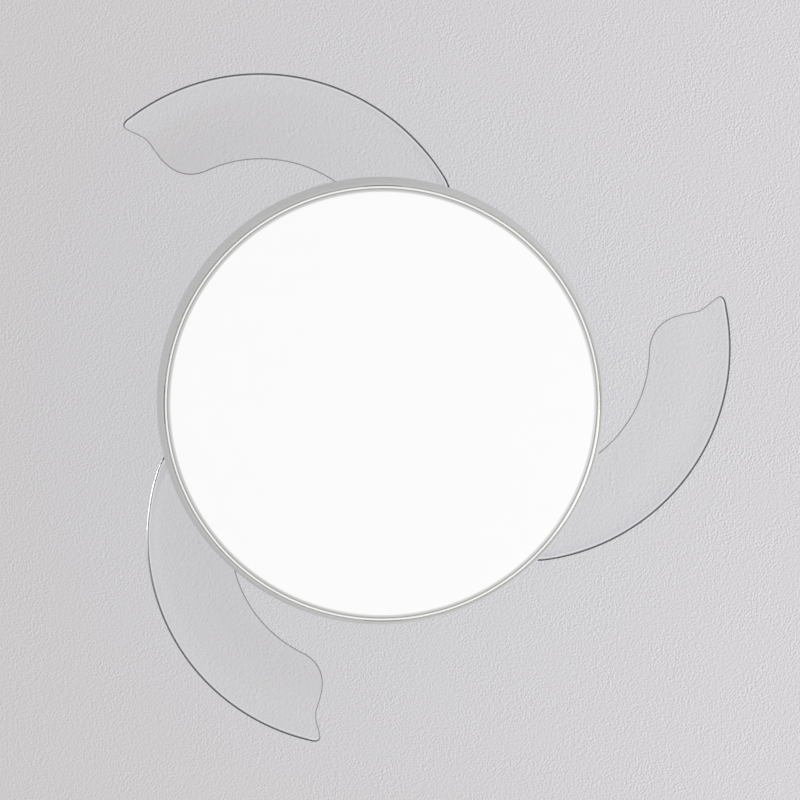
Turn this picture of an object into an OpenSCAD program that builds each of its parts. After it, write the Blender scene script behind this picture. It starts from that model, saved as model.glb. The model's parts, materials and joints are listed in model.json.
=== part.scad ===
// Ceiling fan with a round lamp under it and three clear blades that swing out from above the lamp.
// Millimetres. The origin is the centre of the mounting plane on the ceiling and +Z points up.
// Seen from below, +X points to the right and +Y points down, and the rotor turns clockwise.

/* [Lamp] */
// Radius of the diffuser where its rounded shoulder ends
diffuser_r = 260; // [235:1:300]
// Wall of the diffuser
diffuser_t = 2; // [1.6:0.1:3]
// Rounding of the diffuser's shoulder
shoulder_r = 3.5; // [2:0.1:5]
// How far the middle of the diffuser hangs below its shoulder
diffuser_crown = 3; // [1:0.1:8]
// Dark line left between the diffuser and the trim ring
ring_reveal = 0.9; // [0.5:0.1:2]
// Width of the trim ring's bright face
ring_face_w = 3.1; // [2.6:0.1:6]
// Wall of the trim ring
ring_t = 1.5; // [1.2:0.1:2.2]
// Running gap between the trim ring and the rim of the pan
ring_gap = 0.9; // [0.6:0.1:2]
// Depth of the lamp pan from its deck to the face of the trim ring
pan_h = 62; // [54:1:90]
// Sheet thickness of the lamp pan
pan_t = 2; // [1.2:0.1:3]
// How much wider the pan is at its deck than at its rim, on the radius
pan_flare = 12.7; // [6:0.1:20]
// How far the pan wall bulges from a straight line
pan_bulge = 1.5; // [0:0.1:3]
// Rounding between the deck and the wall of the pan
pan_corner = 4; // [3:0.5:8]
// Number of bayonet catches that hold the trim ring
catch_count = 4; // [3:1:6]

/* [Hanger and canopy] */
// Radius of the bracket plate on the ceiling
bracket_r = 80; // [74:1:84]
// Sheet thickness of the bracket plate
bracket_t = 2.5; // [2:0.1:4]
// Circle of the holes for the ceiling screws
mount_pcd = 130; // [120:1:140]
// Radius of each hole for a ceiling screw
mount_hole_r = 3; // [2.5:0.1:4]
// Radius of the hole that the supply cable comes through
cable_hole_r = 32; // [26:1:34]
// Radius of the canopy at the ceiling
canopy_r = 92; // [90:1:110]
// Height of the canopy
canopy_h = 68; // [60:1:90]
// Wall of the canopy
canopy_t = 1.5; // [1.2:0.1:2.5]
// Radius of the flat bottom of the canopy
canopy_neck_r = 62; // [50:1:75]
// Radius of the hole in the bottom of the canopy
canopy_hole_r = 26; // [23:1:34]
// Outer radius of the hollow shaft
shaft_r = 9; // [8:0.5:10]
// Radius of the wire bore in the shaft
shaft_bore_r = 5.5; // [4:0.5:6]

/* [Motor] */
// Gap between the canopy and the cover that turns under it
canopy_gap = 7.5; // [4:0.5:15]
// Height of the upper motor shell
upper_shell_h = 31.5; // [31:0.5:36]
// Height of the lower motor shell
lower_shell_h = 24; // [23:0.5:30]
// Wall of the motor shells
shell_t = 3; // [2:0.1:4]
// Radius of the stator
stator_r = 62; // [56:1:64]
// Height of the stator's laminations
stator_h = 24; // [18:1:26]
// Number of teeth on the stator
tooth_count = 12; // [9:3:12]
// Air gap between the stator and the magnets
air_gap = 1; // [0.6:0.1:1.5]
// Thickness of the magnets
magnet_t = 3.5; // [2.5:0.1:4]
// Number of magnets
magnet_count = 16; // [8:2:20]
// Thickness of the steel ring behind the magnets
yoke_t = 4; // [3:0.1:5]
// Outer radius of the ball bearings
bearing_r = 20; // [18.5:0.5:21]
// Width of the ball bearings
bearing_w = 11; // [9:0.5:12]
// Radius of the bearing balls
ball_r = 3; // [2.4:0.1:3.2]
// Number of balls in each bearing
ball_count = 9; // [6:1:10]

/* [Blades] */
// Width of a blade from its inner to its outer edge
blade_w = 106; // [96:1:112]
// Angle from a blade's pivot to its tip, about the rotor axis
blade_sweep = 112.3; // [80:0.1:112.5]
// Thickness of the clear panel
blade_t = 2.4; // [1.8:0.1:3.2]
// Thickness of the bead along the outer edge
bead_t = 3.6; // [2.6:0.1:5]
// How far the folded blades stay inside the widest part of the pan
blade_inset = 10.6; // [8:0.1:16]
// Distance from the outer edge of a blade to its pivot
pivot_inset = 60; // [58:1:64]
// Distance from the outer edge to the crest of the lip
lip_w = 25; // [16:1:34]
// How far the outer edge turns down from the crest
lip_drop = 6.3; // [3:0.1:8]
// How much higher the crest is than the inner edge
blade_rise = 14.3; // [8:0.1:16]
// Angle at which blade 1 stands open
open_1 = 58.4; // [0:0.1:60]
// Angle at which blade 2 stands open
open_2 = 53.3; // [0:0.1:60]
// Angle at which blade 3 stands open
open_3 = 49.9; // [0:0.1:60]
// Angle at which the stops end the swing
open_limit = 60; // [52:0.5:60]

/* [Blade pivots] */
// Thickness of the plate that carries the blades
carrier_t = 3; // [2:0.1:4]
// Radius of the steel pivot post
post_r = 6; // [5:0.1:7]
// Wall of the bearing bush
bush_t = 3; // [2:0.1:3.5]
// Wall of the hub's barrel
barrel_t = 3.5; // [2.5:0.1:4]
// Height of the hub's barrel above its flange
barrel_h = 14.8; // [14.4:0.1:20]
// Radius of the hub's flange
hub_r = 32; // [30:0.5:34]
// Thickness of the hub's flange
hub_t = 4; // [3:0.1:5]
// Thickness of the blade's root pad
pad_t = 3; // [2:0.1:4]
// Thickness of the clamp plate under the pad
clamp_t = 3; // [2:0.1:4]
// Circle of the screws that hold the blade
blade_screw_pcd = 48; // [46:1:52]
// Radius of the rubber bumpers
bumper_r = 5; // [4:0.5:6]
// Distance from a pivot to its two bumpers
stop_r = 43; // [42:0.5:46]
// Width of the stop lug
lug_w = 10; // [8:0.5:12]
// Radius of the spring wire
wire_r = 0.8; // [0.6:0.1:1]
// Turns in each return spring
spring_turns = 4.5; // [2.5:1:4.5]

/* [Hidden] */
$fn = 96;
eps = 0.5;                  // how far a cut runs past the face that it opens
fit = 0.04;                 // radial clearance of a turning fit
seat = 0.3;                 // clearance between pieces that move past each other
m5 = 2.45;                  // radius of each size of screw
m4 = 1.95;
m35 = 1.75;
m3 = 1.5;
tap = 0.05;                 // how much wider a hole is that holds a screw's thread
slip = 0.25;                // and one that the screw passes

// Colours, as the photograph shows them or as such parts are
body_paint = [0.80, 0.80, 0.79];
ring_metal = [0.90, 0.90, 0.88];
opal = [0.98, 0.98, 0.98];
clear = [0.80, 0.84, 0.88, 0.35];
steel = [0.62, 0.63, 0.65];
cast = [0.70, 0.71, 0.72];
rubber = [0.12, 0.12, 0.12];
white = [0.93, 0.93, 0.92];

// Levels, from the ceiling down
cover_t = 2;
washer_t = 2;
flange_h = 6;               // boss of the lamp flange above its plate
flange_t = 4;
motor_gap = 4;
z_cover = -(canopy_h + canopy_gap);
z_motor = z_cover - cover_t;
z_carrier = z_motor - upper_shell_h;
z_under = z_carrier - carrier_t;
z_motor_low = z_under - lower_shell_h;
z_hub = z_under - washer_t - 0.2;
z_hub_flange = z_hub - barrel_h;
z_pad = z_hub_flange - hub_t;
z_clamp = z_pad - pad_t;
z_clamp_low = z_clamp - clamp_t;
z_deck = min(z_motor_low - motor_gap, z_clamp_low - 1) - flange_h - flange_t;
z_face = z_deck - pan_h;
z_rim = z_face + 0.6;       // the pan's rim stands a little behind the trim ring's face

// Radii that follow from the lamp
ring_in_r = diffuser_r + ring_reveal;
ring_out_r = ring_in_r + ring_face_w;
rim_r = ring_out_r + ring_gap + pan_t;
deck_r = rim_r + pan_flare;
cover_r = deck_r - 3.6;
blade_r = deck_r - blade_inset;
pivot_r = blade_r - pivot_inset;
blade_in_r = blade_r - blade_w;
pivot_angle = -76.1;
opens = [open_1, open_2, open_3];

function bez(p, t) = pow(1 - t, 3) * p[0] + 3 * t * pow(1 - t, 2) * p[1]
    + 3 * t * t * (1 - t) * p[2] + t * t * t * p[3];
function bez_path(p, n) = [for (i = [0:n]) bez(p, i / n)];
function polar(a, r) = [r * cos(a), r * sin(a)];
function backwards(path) = [for (i = [len(path) - 1:-1:0]) path[i]];
function unit(v) = v / norm(v);
function left(v) = [-v[1], v[0]];

// The path moved sideways by t, to the left of its direction for a positive t
function step_aside(path, t) = [for (i = [0:len(path) - 1])
    let (a = unit(path[max(i, 1)] - path[max(i, 1) - 1]),
         b = unit(path[min(i + 1, len(path) - 1)] - path[min(i + 1, len(path) - 1) - 1]),
         n = unit(left(a) + left(b)))
    path[i] + n * t / (n * left(a))];

// A wall of thickness t, in radius and height, with its outer face on the path
function wall(path, t) = concat(path, backwards([for (p = step_aside(path, t)) [max(p[0], 0), p[1]]]));

module ring(r_out, r_in, h, z) {
    translate([0, 0, z]) difference() {
        cylinder(r = r_out, h = h);
        translate([0, 0, -eps]) cylinder(r = r_in, h = h + 2 * eps);
    }
}

module spread(count, r, first = 0) {
    for (i = [0:count - 1]) rotate([0, 0, first + i * 360 / count]) translate([r, 0, 0]) children();
}

// A screw that points up, with the underside of its head at z
module screw_up(r, length, head_r, head_h, z) {
    translate([0, 0, z]) cylinder(r = r, h = length, $fn = 32);
    translate([0, 0, z - head_h]) difference() {
        cylinder(r = head_r, h = head_h, $fn = 32);
        translate([0, 0, -eps]) cylinder(r = head_r * 0.45, h = head_h * 0.5 + eps, $fn = 6);
    }
}

// A bent tube along points, swept with flat sides
function tube_frame(p, i) = unit(p[min(i + 1, len(p) - 1)] - p[max(i - 1, 0)]);
module tube(p, r, sides, up) {
    n = len(p);
    points = [for (i = [0:n - 1]) let (t = tube_frame(p, i), u = unit(cross(t, up(i))), v = cross(t, u))
        for (k = [0:sides - 1]) p[i] + r * (cos(k * 360 / sides) * u + sin(k * 360 / sides) * v)];
    sidewalls = [for (i = [0:n - 2]) for (k = [0:sides - 1]) let (m = (k + 1) % sides)
        each [[i * sides + k, i * sides + m, (i + 1) * sides + m],
              [i * sides + k, (i + 1) * sides + m, (i + 1) * sides + k]]];
    polyhedron(points, concat(sidewalls, [[for (k = [sides - 1:-1:0]) k]],
        [[for (k = [0:sides - 1]) (n - 1) * sides + k]]));
}

// ---- Hanger: what is screwed to the ceiling and carries the shaft ----
collar_flange_r = cable_hole_r + 16;
collar_bolt_r = cable_hole_r + 8;
collar_r = shaft_r + 11;
collar_flange_t = 4;
collar_h = 42;
shaft_head_r = shaft_r + 5;
shaft_head_h = 4;
z_shaft_top = -bracket_t - 7.5;
z_seat = z_shaft_top - shaft_head_h;
ear_r = canopy_r - canopy_t - seat;
ear_t = 2;
ear_drop = 16;
ear_half_a = 6;
ear_count = 3;
ear_first = 15;
ear_root_r = bracket_r - 6;
canopy_screw_z = -bracket_t - 7.5;
collar_cone = 8;
set_screw_up = 10;          // above the foot of the collar
block_x = [collar_flange_r + 2, collar_flange_r + 17];
lead_r = 2.2;
lead_z = z_shaft_top + lead_r + 1;
slot_w = 2 * lead_r + 3;    // slot in the collar that the supply lead comes through
board_box_y = 40;           // from the middle to the driver and to the controller
box_size = [104, 42, 22];
box_tab = 8;                // how far the tabs of a box stand out at its two ends

module hanger_bracket() {
    color(steel) difference() {
        union() {
            translate([0, 0, -bracket_t]) cylinder(r = bracket_r, h = bracket_t);
            for (i = [0:ear_count - 1]) rotate([0, 0, ear_first + i * 360 / ear_count - ear_half_a])
                rotate_extrude(angle = 2 * ear_half_a) polygon([[ear_root_r, 0], [ear_r, 0],
                    [ear_r, -ear_drop], [ear_r - ear_t, -ear_drop], [ear_r - ear_t, -bracket_t],
                    [ear_root_r, -bracket_t]]);
        }
        translate([0, 0, -bracket_t - eps]) cylinder(r = cable_hole_r, h = bracket_t + 2 * eps);
        spread(4, mount_pcd / 2, 45) translate([0, 0, -bracket_t - eps])
            cylinder(r = mount_hole_r, h = bracket_t + 2 * eps);
        spread(4, collar_bolt_r, 45) translate([0, 0, -bracket_t - eps])
            cylinder(r = m5 + tap, h = bracket_t + 2 * eps);
        spread(ear_count, 0, ear_first) translate([ear_r - ear_t - eps, 0, canopy_screw_z])
            rotate([0, 90, 0]) cylinder(r = m35 + tap, h = ear_t + 2 * eps);
    }
}

module hanger_collar() {
    color(cast) difference() {
        union() {
            translate([0, 0, -bracket_t - collar_flange_t])
                cylinder(r = collar_flange_r, h = collar_flange_t);
            translate([0, 0, -bracket_t - collar_h]) cylinder(r = collar_r, h = collar_h);
            translate([0, 0, -bracket_t - collar_flange_t - collar_cone])
                cylinder(r1 = collar_r, r2 = collar_r + collar_cone, h = collar_cone);
        }
        translate([0, 0, z_seat]) cylinder(r = shaft_head_r + seat, h = collar_h);
        translate([0, 0, -bracket_t - collar_h - eps]) cylinder(r = shaft_r + fit, h = collar_h);
        translate([0, -slot_w / 2, z_shaft_top]) cube([collar_flange_r + eps, slot_w, collar_h]);
        spread(4, collar_bolt_r, 45) translate([0, 0, -collar_h]) cylinder(r = m5 + slip, h = collar_h);
        spread(2, 0, 90) translate([shaft_r - eps, 0, -bracket_t - collar_h + set_screw_up])
            rotate([0, 90, 0]) cylinder(r = m5 + tap, h = collar_r - shaft_r + 2 * eps);
    }
}

module hanger_bolts() {
    color(steel) spread(4, collar_bolt_r, 45) {
        translate([0, 0, -bracket_t - collar_flange_t]) cylinder(r = m5, h = collar_flange_t + bracket_t);
        translate([0, 0, -bracket_t - collar_flange_t - 4]) cylinder(r = 2 * m5, h = 4, $fn = 6);
    }
}

module collar_screws() {
    color(steel) spread(2, 0, 90) translate([shaft_r, 0, -bracket_t - collar_h + set_screw_up])
        rotate([0, 90, 0]) difference() {
            cylinder(r = m5, h = collar_r - shaft_r);
            translate([0, 0, collar_r - shaft_r - 2]) cylinder(r = 1.3, h = 3, $fn = 6);
        }
}

canopy_rim = 16;
canopy_path = concat([[canopy_r, 0]],
    [for (i = [0:10]) let (a = i * 9) [canopy_neck_r + (canopy_r - canopy_neck_r) * cos(a),
        -canopy_rim - (canopy_h - canopy_rim) * sin(a)]],
    [[canopy_hole_r, -canopy_h]]);

module canopy() {
    color(body_paint) difference() {
        rotate_extrude() polygon(wall(canopy_path, -canopy_t));
        spread(ear_count, 0, ear_first) translate([canopy_r - 6, 0, canopy_screw_z])
            rotate([0, 90, 0]) cylinder(r = m35 + slip, h = 10);
    }
}

module canopy_screws() {
    color(steel) spread(ear_count, 0, ear_first) translate([canopy_r + 0.1, 0, canopy_screw_z])
        rotate([0, 90, 0]) {
            translate([0, 0, -canopy_t - seat - ear_t - 2])
                cylinder(r = m35, h = canopy_t + seat + ear_t + 2);
            cylinder(r1 = 4, r2 = 3, h = 2);
        }
}

block_w = 30;
block_h = 14;
module terminal_block() {
    color(white) difference() {
        translate([block_x[0], -block_w / 2, -bracket_t - block_h])
            cube([block_x[1] - block_x[0], block_w, block_h]);
        for (y = [-10:10:10]) {
            translate([block_x[0] + 5, y, -bracket_t - block_h - eps]) cylinder(r = 2, h = 5, $fn = 32);
            translate([block_x[1] - 4, y, -bracket_t - block_h / 2]) rotate([0, 90, 0])
                cylinder(r = 2.2, h = 5, $fn = 32);
        }
    }
}

// The lead leaves the terminal block, turns down into the shaft and ends in the fan controller
bend = 6;
z_shaft_low = z_deck - pan_t - 14.5;
lead_low = z_shaft_low - bend;
lead_path = concat(
    [[block_x[0], 0, lead_z], [block_x[0] - 8, 0, lead_z]],
    [for (i = [0:6]) [bend - bend * sin(i * 15), 0, lead_z - bend + bend * cos(i * 15)]],
    [for (i = [1:5]) [0, 0, lead_z - bend + (z_shaft_low - lead_z + bend) * i / 5]],
    [for (i = [1:6]) [0, -bend + bend * cos(i * 15), z_shaft_low - bend * sin(i * 15)]],
    [[0, -board_box_y, lead_low]]);

module supply_lead() {
    color(rubber) tube(lead_path, lead_r, 8, function(i) [1, 1, 0.2]);
}

module motor_shaft() {
    color(steel) difference() {
        union() {
            translate([0, 0, z_shaft_low]) cylinder(r = shaft_r, h = z_shaft_top - z_shaft_low);
            translate([0, 0, z_seat]) cylinder(r = shaft_head_r, h = shaft_head_h);
        }
        translate([0, 0, z_shaft_low - eps])
            cylinder(r = shaft_bore_r, h = z_shaft_top - z_shaft_low + 2 * eps);
    }
}

// ---- Motor: the stator stands still on the shaft and the shells turn round it ----
magnet_in_r = stator_r + air_gap;
yoke_in_r = magnet_in_r + magnet_t;
shell_in_r = yoke_in_r + yoke_t;
shell_r = shell_in_r + shell_t + 0.5;
joint_flange_t = 3;
joint_r = shell_r + 16;
joint_bolt_r = shell_r + 8;
z_stator = (z_motor + z_motor_low) / 2 - stator_h / 2;
core_r = 32;
tooth_w = 8;
shoe_t = 5;
coil_t = 3;
bearing_gap_r = shaft_r + 3;        // hole in each shell round the shaft
z_bearings = [z_motor - shell_t - bearing_w, z_motor_low + shell_t];
ball_pitch_r = (shaft_r + bearing_r) / 2;
race_gap = 2.5;

module stator_core() {
    color(steel) difference() {
        union() {
            translate([0, 0, z_stator]) cylinder(r = core_r, h = stator_h);
            spread(tooth_count, 0) translate([core_r - 2, -tooth_w / 2, z_stator])
                cube([stator_r - core_r - shoe_t + 4, tooth_w, stator_h]);
            difference() {
                ring(stator_r, stator_r - shoe_t, stator_h, z_stator);
                spread(tooth_count, stator_r - shoe_t - 1, 180 / tooth_count)
                    translate([0, -1.5, z_stator - eps]) cube([shoe_t + 2, 3, stator_h + 2 * eps]);
            }
        }
        translate([0, 0, z_stator - eps]) cylinder(r = shaft_r, h = stator_h + 2 * eps);
    }
}

module stator_coils() {
    coil_in = core_r + 2;
    coil_out = stator_r - shoe_t - 1;
    color([0.72, 0.42, 0.22]) spread(tooth_count, 0) difference() {
        translate([coil_in, -tooth_w / 2 - coil_t, z_stator - coil_t - 0.3])
            cube([coil_out - coil_in, tooth_w + 2 * coil_t, stator_h + 2 * coil_t + 0.6]);
        translate([coil_in - eps, -tooth_w / 2 - 0.1, z_stator - 0.1])
            cube([coil_out - coil_in + 2 * eps, tooth_w + 0.2, stator_h + 0.2]);
    }
}

module race(r_out, r_in, z) {
    difference() {
        ring(r_out, r_in, bearing_w, z);
        translate([0, 0, z + bearing_w / 2]) rotate_extrude() translate([ball_pitch_r, 0])
            circle(r = ball_r + 0.12, $fn = 48);
    }
}

module bearing_inner_races() {
    color(steel) for (z = z_bearings) race(ball_pitch_r - race_gap, shaft_r, z);
}

module bearing_outer_races() {
    color(steel) for (z = z_bearings) race(bearing_r, ball_pitch_r + race_gap, z);
}

module bearing_balls() {
    color(steel) for (z = z_bearings) spread(ball_count, ball_pitch_r)
        translate([0, 0, z + bearing_w / 2]) sphere(r = ball_r, $fn = 48);
}

module motor_shell(side) {
    // side 1 is the upper shell, side -1 the lower one
    top = side > 0 ? z_motor : z_motor_low;
    joint = side > 0 ? z_carrier : z_under;
    h = abs(top - joint);
    color(cast) translate([0, 0, joint]) mirror([0, 0, side > 0 ? 0 : 1]) difference() {
        union() {
            cylinder(r = joint_r, h = joint_flange_t);
            cylinder(r = shell_r, h = h - 4);
            translate([0, 0, h - 4]) cylinder(r1 = shell_r, r2 = shell_r - 4, h = 4);
        }
        difference() {
            translate([0, 0, -eps]) cylinder(r = shell_in_r, h = h - shell_t + eps);
            translate([0, 0, h - shell_t - bearing_w]) cylinder(r = bearing_r + 4, h = bearing_w + 1);
        }
        translate([0, 0, h - shell_t - bearing_w - eps]) cylinder(r = bearing_r, h = bearing_w + eps);
        translate([0, 0, h - shell_t - eps]) cylinder(r = bearing_gap_r, h = shell_t + 2 * eps);
        spread(6, joint_bolt_r, 14) translate([0, 0, -eps])
            cylinder(r = m5 + slip, h = joint_flange_t + 2 * eps);
        if (side > 0) spread(4, cover_screw_r, 30) translate([0, 0, h - shell_t - eps])
            cylinder(r = m35 + tap, h = shell_t + 2 * eps, $fn = 32);
    }
}

module motor_upper_shell() { motor_shell(1); }
module motor_lower_shell() { motor_shell(-1); }

yoke_h = stator_h + 4;
module rotor_yoke() {
    color(steel) ring(shell_in_r, yoke_in_r, yoke_h, z_stator - 2);
}

module rotor_magnets() {
    color([0.25, 0.25, 0.27]) difference() {
        ring(yoke_in_r, magnet_in_r, stator_h, z_stator);
        spread(magnet_count, magnet_in_r - 1) translate([0, -0.4, z_stator - eps])
            cube([magnet_t + 2, 0.8, stator_h + 2 * eps]);
    }
}

module shell_bolts() {
    grip = 2 * joint_flange_t + carrier_t;
    color(steel) spread(6, joint_bolt_r, 14) {
        screw_up(m5, grip, 4.5, 3, z_under - joint_flange_t);
        translate([0, 0, z_carrier + joint_flange_t]) difference() {
            cylinder(r = 4.6, h = 3.5, $fn = 6);
            translate([0, 0, -eps]) cylinder(r = m5 - slip, h = 5, $fn = 32);
        }
    }
}

// ---- Blade carrier and cover, which turn with the motor ----
carrier_hub_r = joint_r + 12;
carrier_end_r = stop_r + bumper_r + 2;
arm_w = 66;
boss_at = (carrier_hub_r + pivot_r - carrier_end_r) / 2 + 8;
boss_r = 6;
boss_screw_in = 10;         // how far a cover screw goes into its boss
cover_hole_r = 24;
cover_screw_r = 50;
skirt_h = 6;
post_hole_r = post_r - 1;
stud_r = 2.5;
bumper_top = z_under;
bumper_low = z_hub_flange + 6.5;
lug_angle = -170;
lug_half = asin((lug_w / 2 + bumper_r + seat) / stop_r);
closed_bumper_a = lug_angle - lug_half;
open_bumper_a = lug_angle + open_limit + lug_half;
peg_r = 1.5;
spring_r = post_r + bush_t + barrel_t + wire_r + 1.7;
leg = 8;
peg_at = [spring_r + wire_r + peg_r + 0.1, 6];
top_peg_a = 40;

module at_pivots() {
    for (k = [0:2]) rotate([0, 0, pivot_angle + 120 * k]) translate([pivot_r, 0, 0]) children();
}

// What moves with blade k: the axes stand at its pivot and X points away from the rotor's axis when folded
module on_blade(k) {
    rotate([0, 0, pivot_angle + 120 * (k - 1)]) translate([pivot_r, 0, 0])
        rotate([0, 0, opens[k - 1]]) children();
}

module blade_carrier() {
    color(steel) difference() {
        union() {
            translate([0, 0, z_under]) linear_extrude(carrier_t) difference() {
                union() {
                    circle(r = carrier_hub_r);
                    for (k = [0:2]) rotate(pivot_angle + 120 * k) {
                        translate([pivot_r, 0]) circle(r = carrier_end_r);
                        translate([joint_r - 6, -arm_w / 2]) square([pivot_r - joint_r, arm_w]);
                    }
                }
                circle(r = shell_in_r + 0.5);
                for (k = [0:2]) rotate(pivot_angle + 120 * k) for (y = [-1, 1])
                    translate([carrier_hub_r + 2, y * 19]) {
                        circle(r = 7);
                        translate([0, -7]) square([pivot_r - carrier_end_r - carrier_hub_r + 8, 14]);
                        translate([pivot_r - carrier_end_r - carrier_hub_r + 8, 0]) circle(r = 7);
                    }
            }
            at_pivots() {
                for (a = [closed_bumper_a, open_bumper_a]) rotate([0, 0, a])
                    translate([stop_r, 0, bumper_low]) cylinder(r = stud_r, h = z_under - bumper_low + 1);
                rotate([0, 0, top_peg_a]) translate([peg_at[0], peg_at[1], z_under - 6.3])
                    cylinder(r = peg_r, h = 7, $fn = 32);
            }
        }
        at_pivots() translate([0, 0, z_under - eps]) cylinder(r = post_hole_r, h = carrier_t + 2 * eps);
        spread(6, joint_bolt_r, 14) translate([0, 0, z_under - eps])
            cylinder(r = m5 + slip, h = carrier_t + 2 * eps);
        spread(3, boss_at, pivot_angle) translate([0, 0, z_under - eps])
            cylinder(r = m35 + slip, h = carrier_t + 2 * eps, $fn = 32);
    }
}

cover_slope = bez_path([[joint_r - 6, z_cover], [pivot_r * 0.82, z_cover - 1],
    [cover_r - 30, z_cover - 14], [cover_r - 8, z_cover - 28]], 12);
cover_edge = bez_path([[cover_r - 8, z_cover - 28], [cover_r - 3.5, z_cover - 31],
    [cover_r, z_cover - 33], [cover_r, z_cover - 38]], 5);
cover_path = concat([[cover_hole_r, z_cover]], cover_slope, [for (i = [1:5]) cover_edge[i]],
    [[cover_r, z_under - skirt_h]]);

module blade_cover() {
    color(body_paint) difference() {
        union() {
            rotate_extrude() polygon(wall(cover_path, -cover_t));
            intersection() {
                spread(3, boss_at, pivot_angle) translate([0, 0, z_carrier])
                    cylinder(r = boss_r, h = z_cover - z_carrier);
                rotate_extrude() polygon(concat(step_aside(cover_path, -cover_t / 2),
                    [[0, z_under - skirt_h], [0, z_cover - cover_t / 2]]));
            }
        }
        spread(3, boss_at, pivot_angle) translate([0, 0, z_carrier - eps])
            cylinder(r = m35 + tap, h = boss_screw_in + 4, $fn = 32);
        spread(4, cover_screw_r, 30) translate([0, 0, z_cover - cover_t - eps])
            cylinder(r = m35 + slip, h = cover_t + 2 * eps, $fn = 32);
    }
}

module cover_screws() {
    color(steel) {
        spread(3, boss_at, pivot_angle) screw_up(m35, carrier_t + boss_screw_in, 4, 2.4, z_under);
        spread(4, cover_screw_r, 30) translate([0, 0, z_cover]) mirror([0, 0, 1])
            screw_up(m35, cover_t + shell_t - 0.5, 3.8, 2, 0);
    }
}

// ---- Pivots: the posts are riveted to the carrier and the hubs turn on them ----
low_washer_t = 1.5;
z_low_washer = z_clamp_low - 0.2 - low_washer_t;
clip_t = 1.2;
z_clip = z_low_washer - 0.1 - clip_t;
z_post_low = z_clip - 1.6;
groove_r = post_r - 1.2;

module pivot_posts() {
    color(steel) at_pivots() {
        translate([0, 0, z_carrier]) cylinder(r1 = post_r + 3, r2 = post_r + 1.5, h = 2);
        translate([0, 0, z_under - eps]) cylinder(r = post_hole_r, h = carrier_t + 2 * eps);
        difference() {
            translate([0, 0, z_post_low]) cylinder(r = post_r, h = z_under - z_post_low);
            ring(post_r + 1, groove_r, clip_t + 0.1, z_clip - 0.05);
        }
    }
}

module pivot_washers() {
    color(white) at_pivots() {
        ring(post_r + bush_t + 2, post_r + fit, washer_t, z_under - washer_t);
        ring(post_r + bush_t + 2, post_r + fit, low_washer_t, z_low_washer);
    }
}

module pivot_clips() {
    color(steel) at_pivots() difference() {
        ring(post_r + 3, groove_r, clip_t, z_clip);
        translate([0, -groove_r * 0.8, z_clip - eps]) cube([20, groove_r * 1.6, clip_t + 2 * eps]);
    }
}

module bumpers(a) {
    color(rubber) at_pivots() rotate([0, 0, a]) translate([stop_r, 0, 0])
        ring(bumper_r, stud_r, bumper_top - bumper_low, bumper_low);
}
module open_bumpers() { bumpers(open_bumper_a); }
module closed_bumpers() { bumpers(closed_bumper_a); }

// A torsion spring round the hub's barrel, with a straight leg at each end
spring_room = barrel_h - 3.4;
spring_z = [z_hub_flange + 1.2 + wire_r, z_hub_flange + 1.2 + wire_r + spring_room - 2 * wire_r];
spring_steps = 8;
function coil_point(a, z) = [spring_r * cos(a), spring_r * sin(a), z];
function spring_path(k) =
    let (turn = 360 * spring_turns,
         last = top_peg_a - opens[k - 1],
         first = last - turn,
         n = round(spring_turns * spring_steps),
         pitch = (spring_z[1] - spring_z[0]) / n,
         coil = [for (i = [0:n]) coil_point(first + i * turn / n, spring_z[0] + i * pitch)])
    concat([coil[0] + leg * [sin(first), -cos(first), 0]], coil,
        [coil[n] + leg * [-sin(last), cos(last), 0]]);
spring_pitch = (spring_z[1] - spring_z[0]) / spring_turns;
echo(least_gap_of_return_spring = spring_pitch - 2 * wire_r);

module return_spring(k) {
    color(steel) on_blade(k) tube(spring_path(k), wire_r, 6, function(i) [0, 0, 1]);
}

// ---- Blades ----
z_inner = z_clamp + 0.5;            // middle of the panel at the inner edge
crest_r = blade_r - lip_w;
z_crest = z_inner + blade_rise;
function panel_mid(r) = r <= crest_r
    ? z_inner + blade_rise * sin(90 * pow((r - blade_in_r) / (crest_r - blade_in_r), 1.15))
    : z_crest - lip_drop * pow((r - crest_r) / lip_w, 1.8);
panel_rs = concat([for (i = [0:10]) blade_in_r + (crest_r - blade_in_r) * i / 10],
    [for (i = [1:5]) crest_r + (lip_w - bead_t * 0.6) * i / 5]);
panel_path = [for (r = panel_rs) [r, panel_mid(r)]];
bead_at = [blade_r - bead_t / 2, panel_mid(blade_r - bead_t / 2)];
recess_r = hub_r + 1;
pad_r = recess_r + 2;
root_lap = 0.5;                     // how far the panel runs on under the root
root_skin = 0.15;                   // how far the root stands out of the panel on each face
cut_low = z_clamp - 20;             // cuts through a blade start here, well below it
cut_h = 60;
barrel_play = 0.1;                  // between the hub's barrel and the holes that it goes through
root_a = 14;                        // half the angle, about the rotor axis, that the root is cut from

module panel_section() {
    polygon(concat(step_aside(panel_path, blade_t / 2), backwards(step_aside(panel_path, -blade_t / 2))));
    translate(bead_at) circle(r = bead_t / 2, $fn = 24);
}

// The root is as thick as panel and pad together, before both faces are cut back to the pad
module root_section() {
    half_t = blade_t / 2 + root_skin;
    polygon(concat(
        [for (p = step_aside(panel_path, half_t)) [p[0], max(p[1], z_pad)]],
        backwards([for (p = step_aside(panel_path, -half_t)) [p[0], min(p[1], z_clamp)]])));
}

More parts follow.
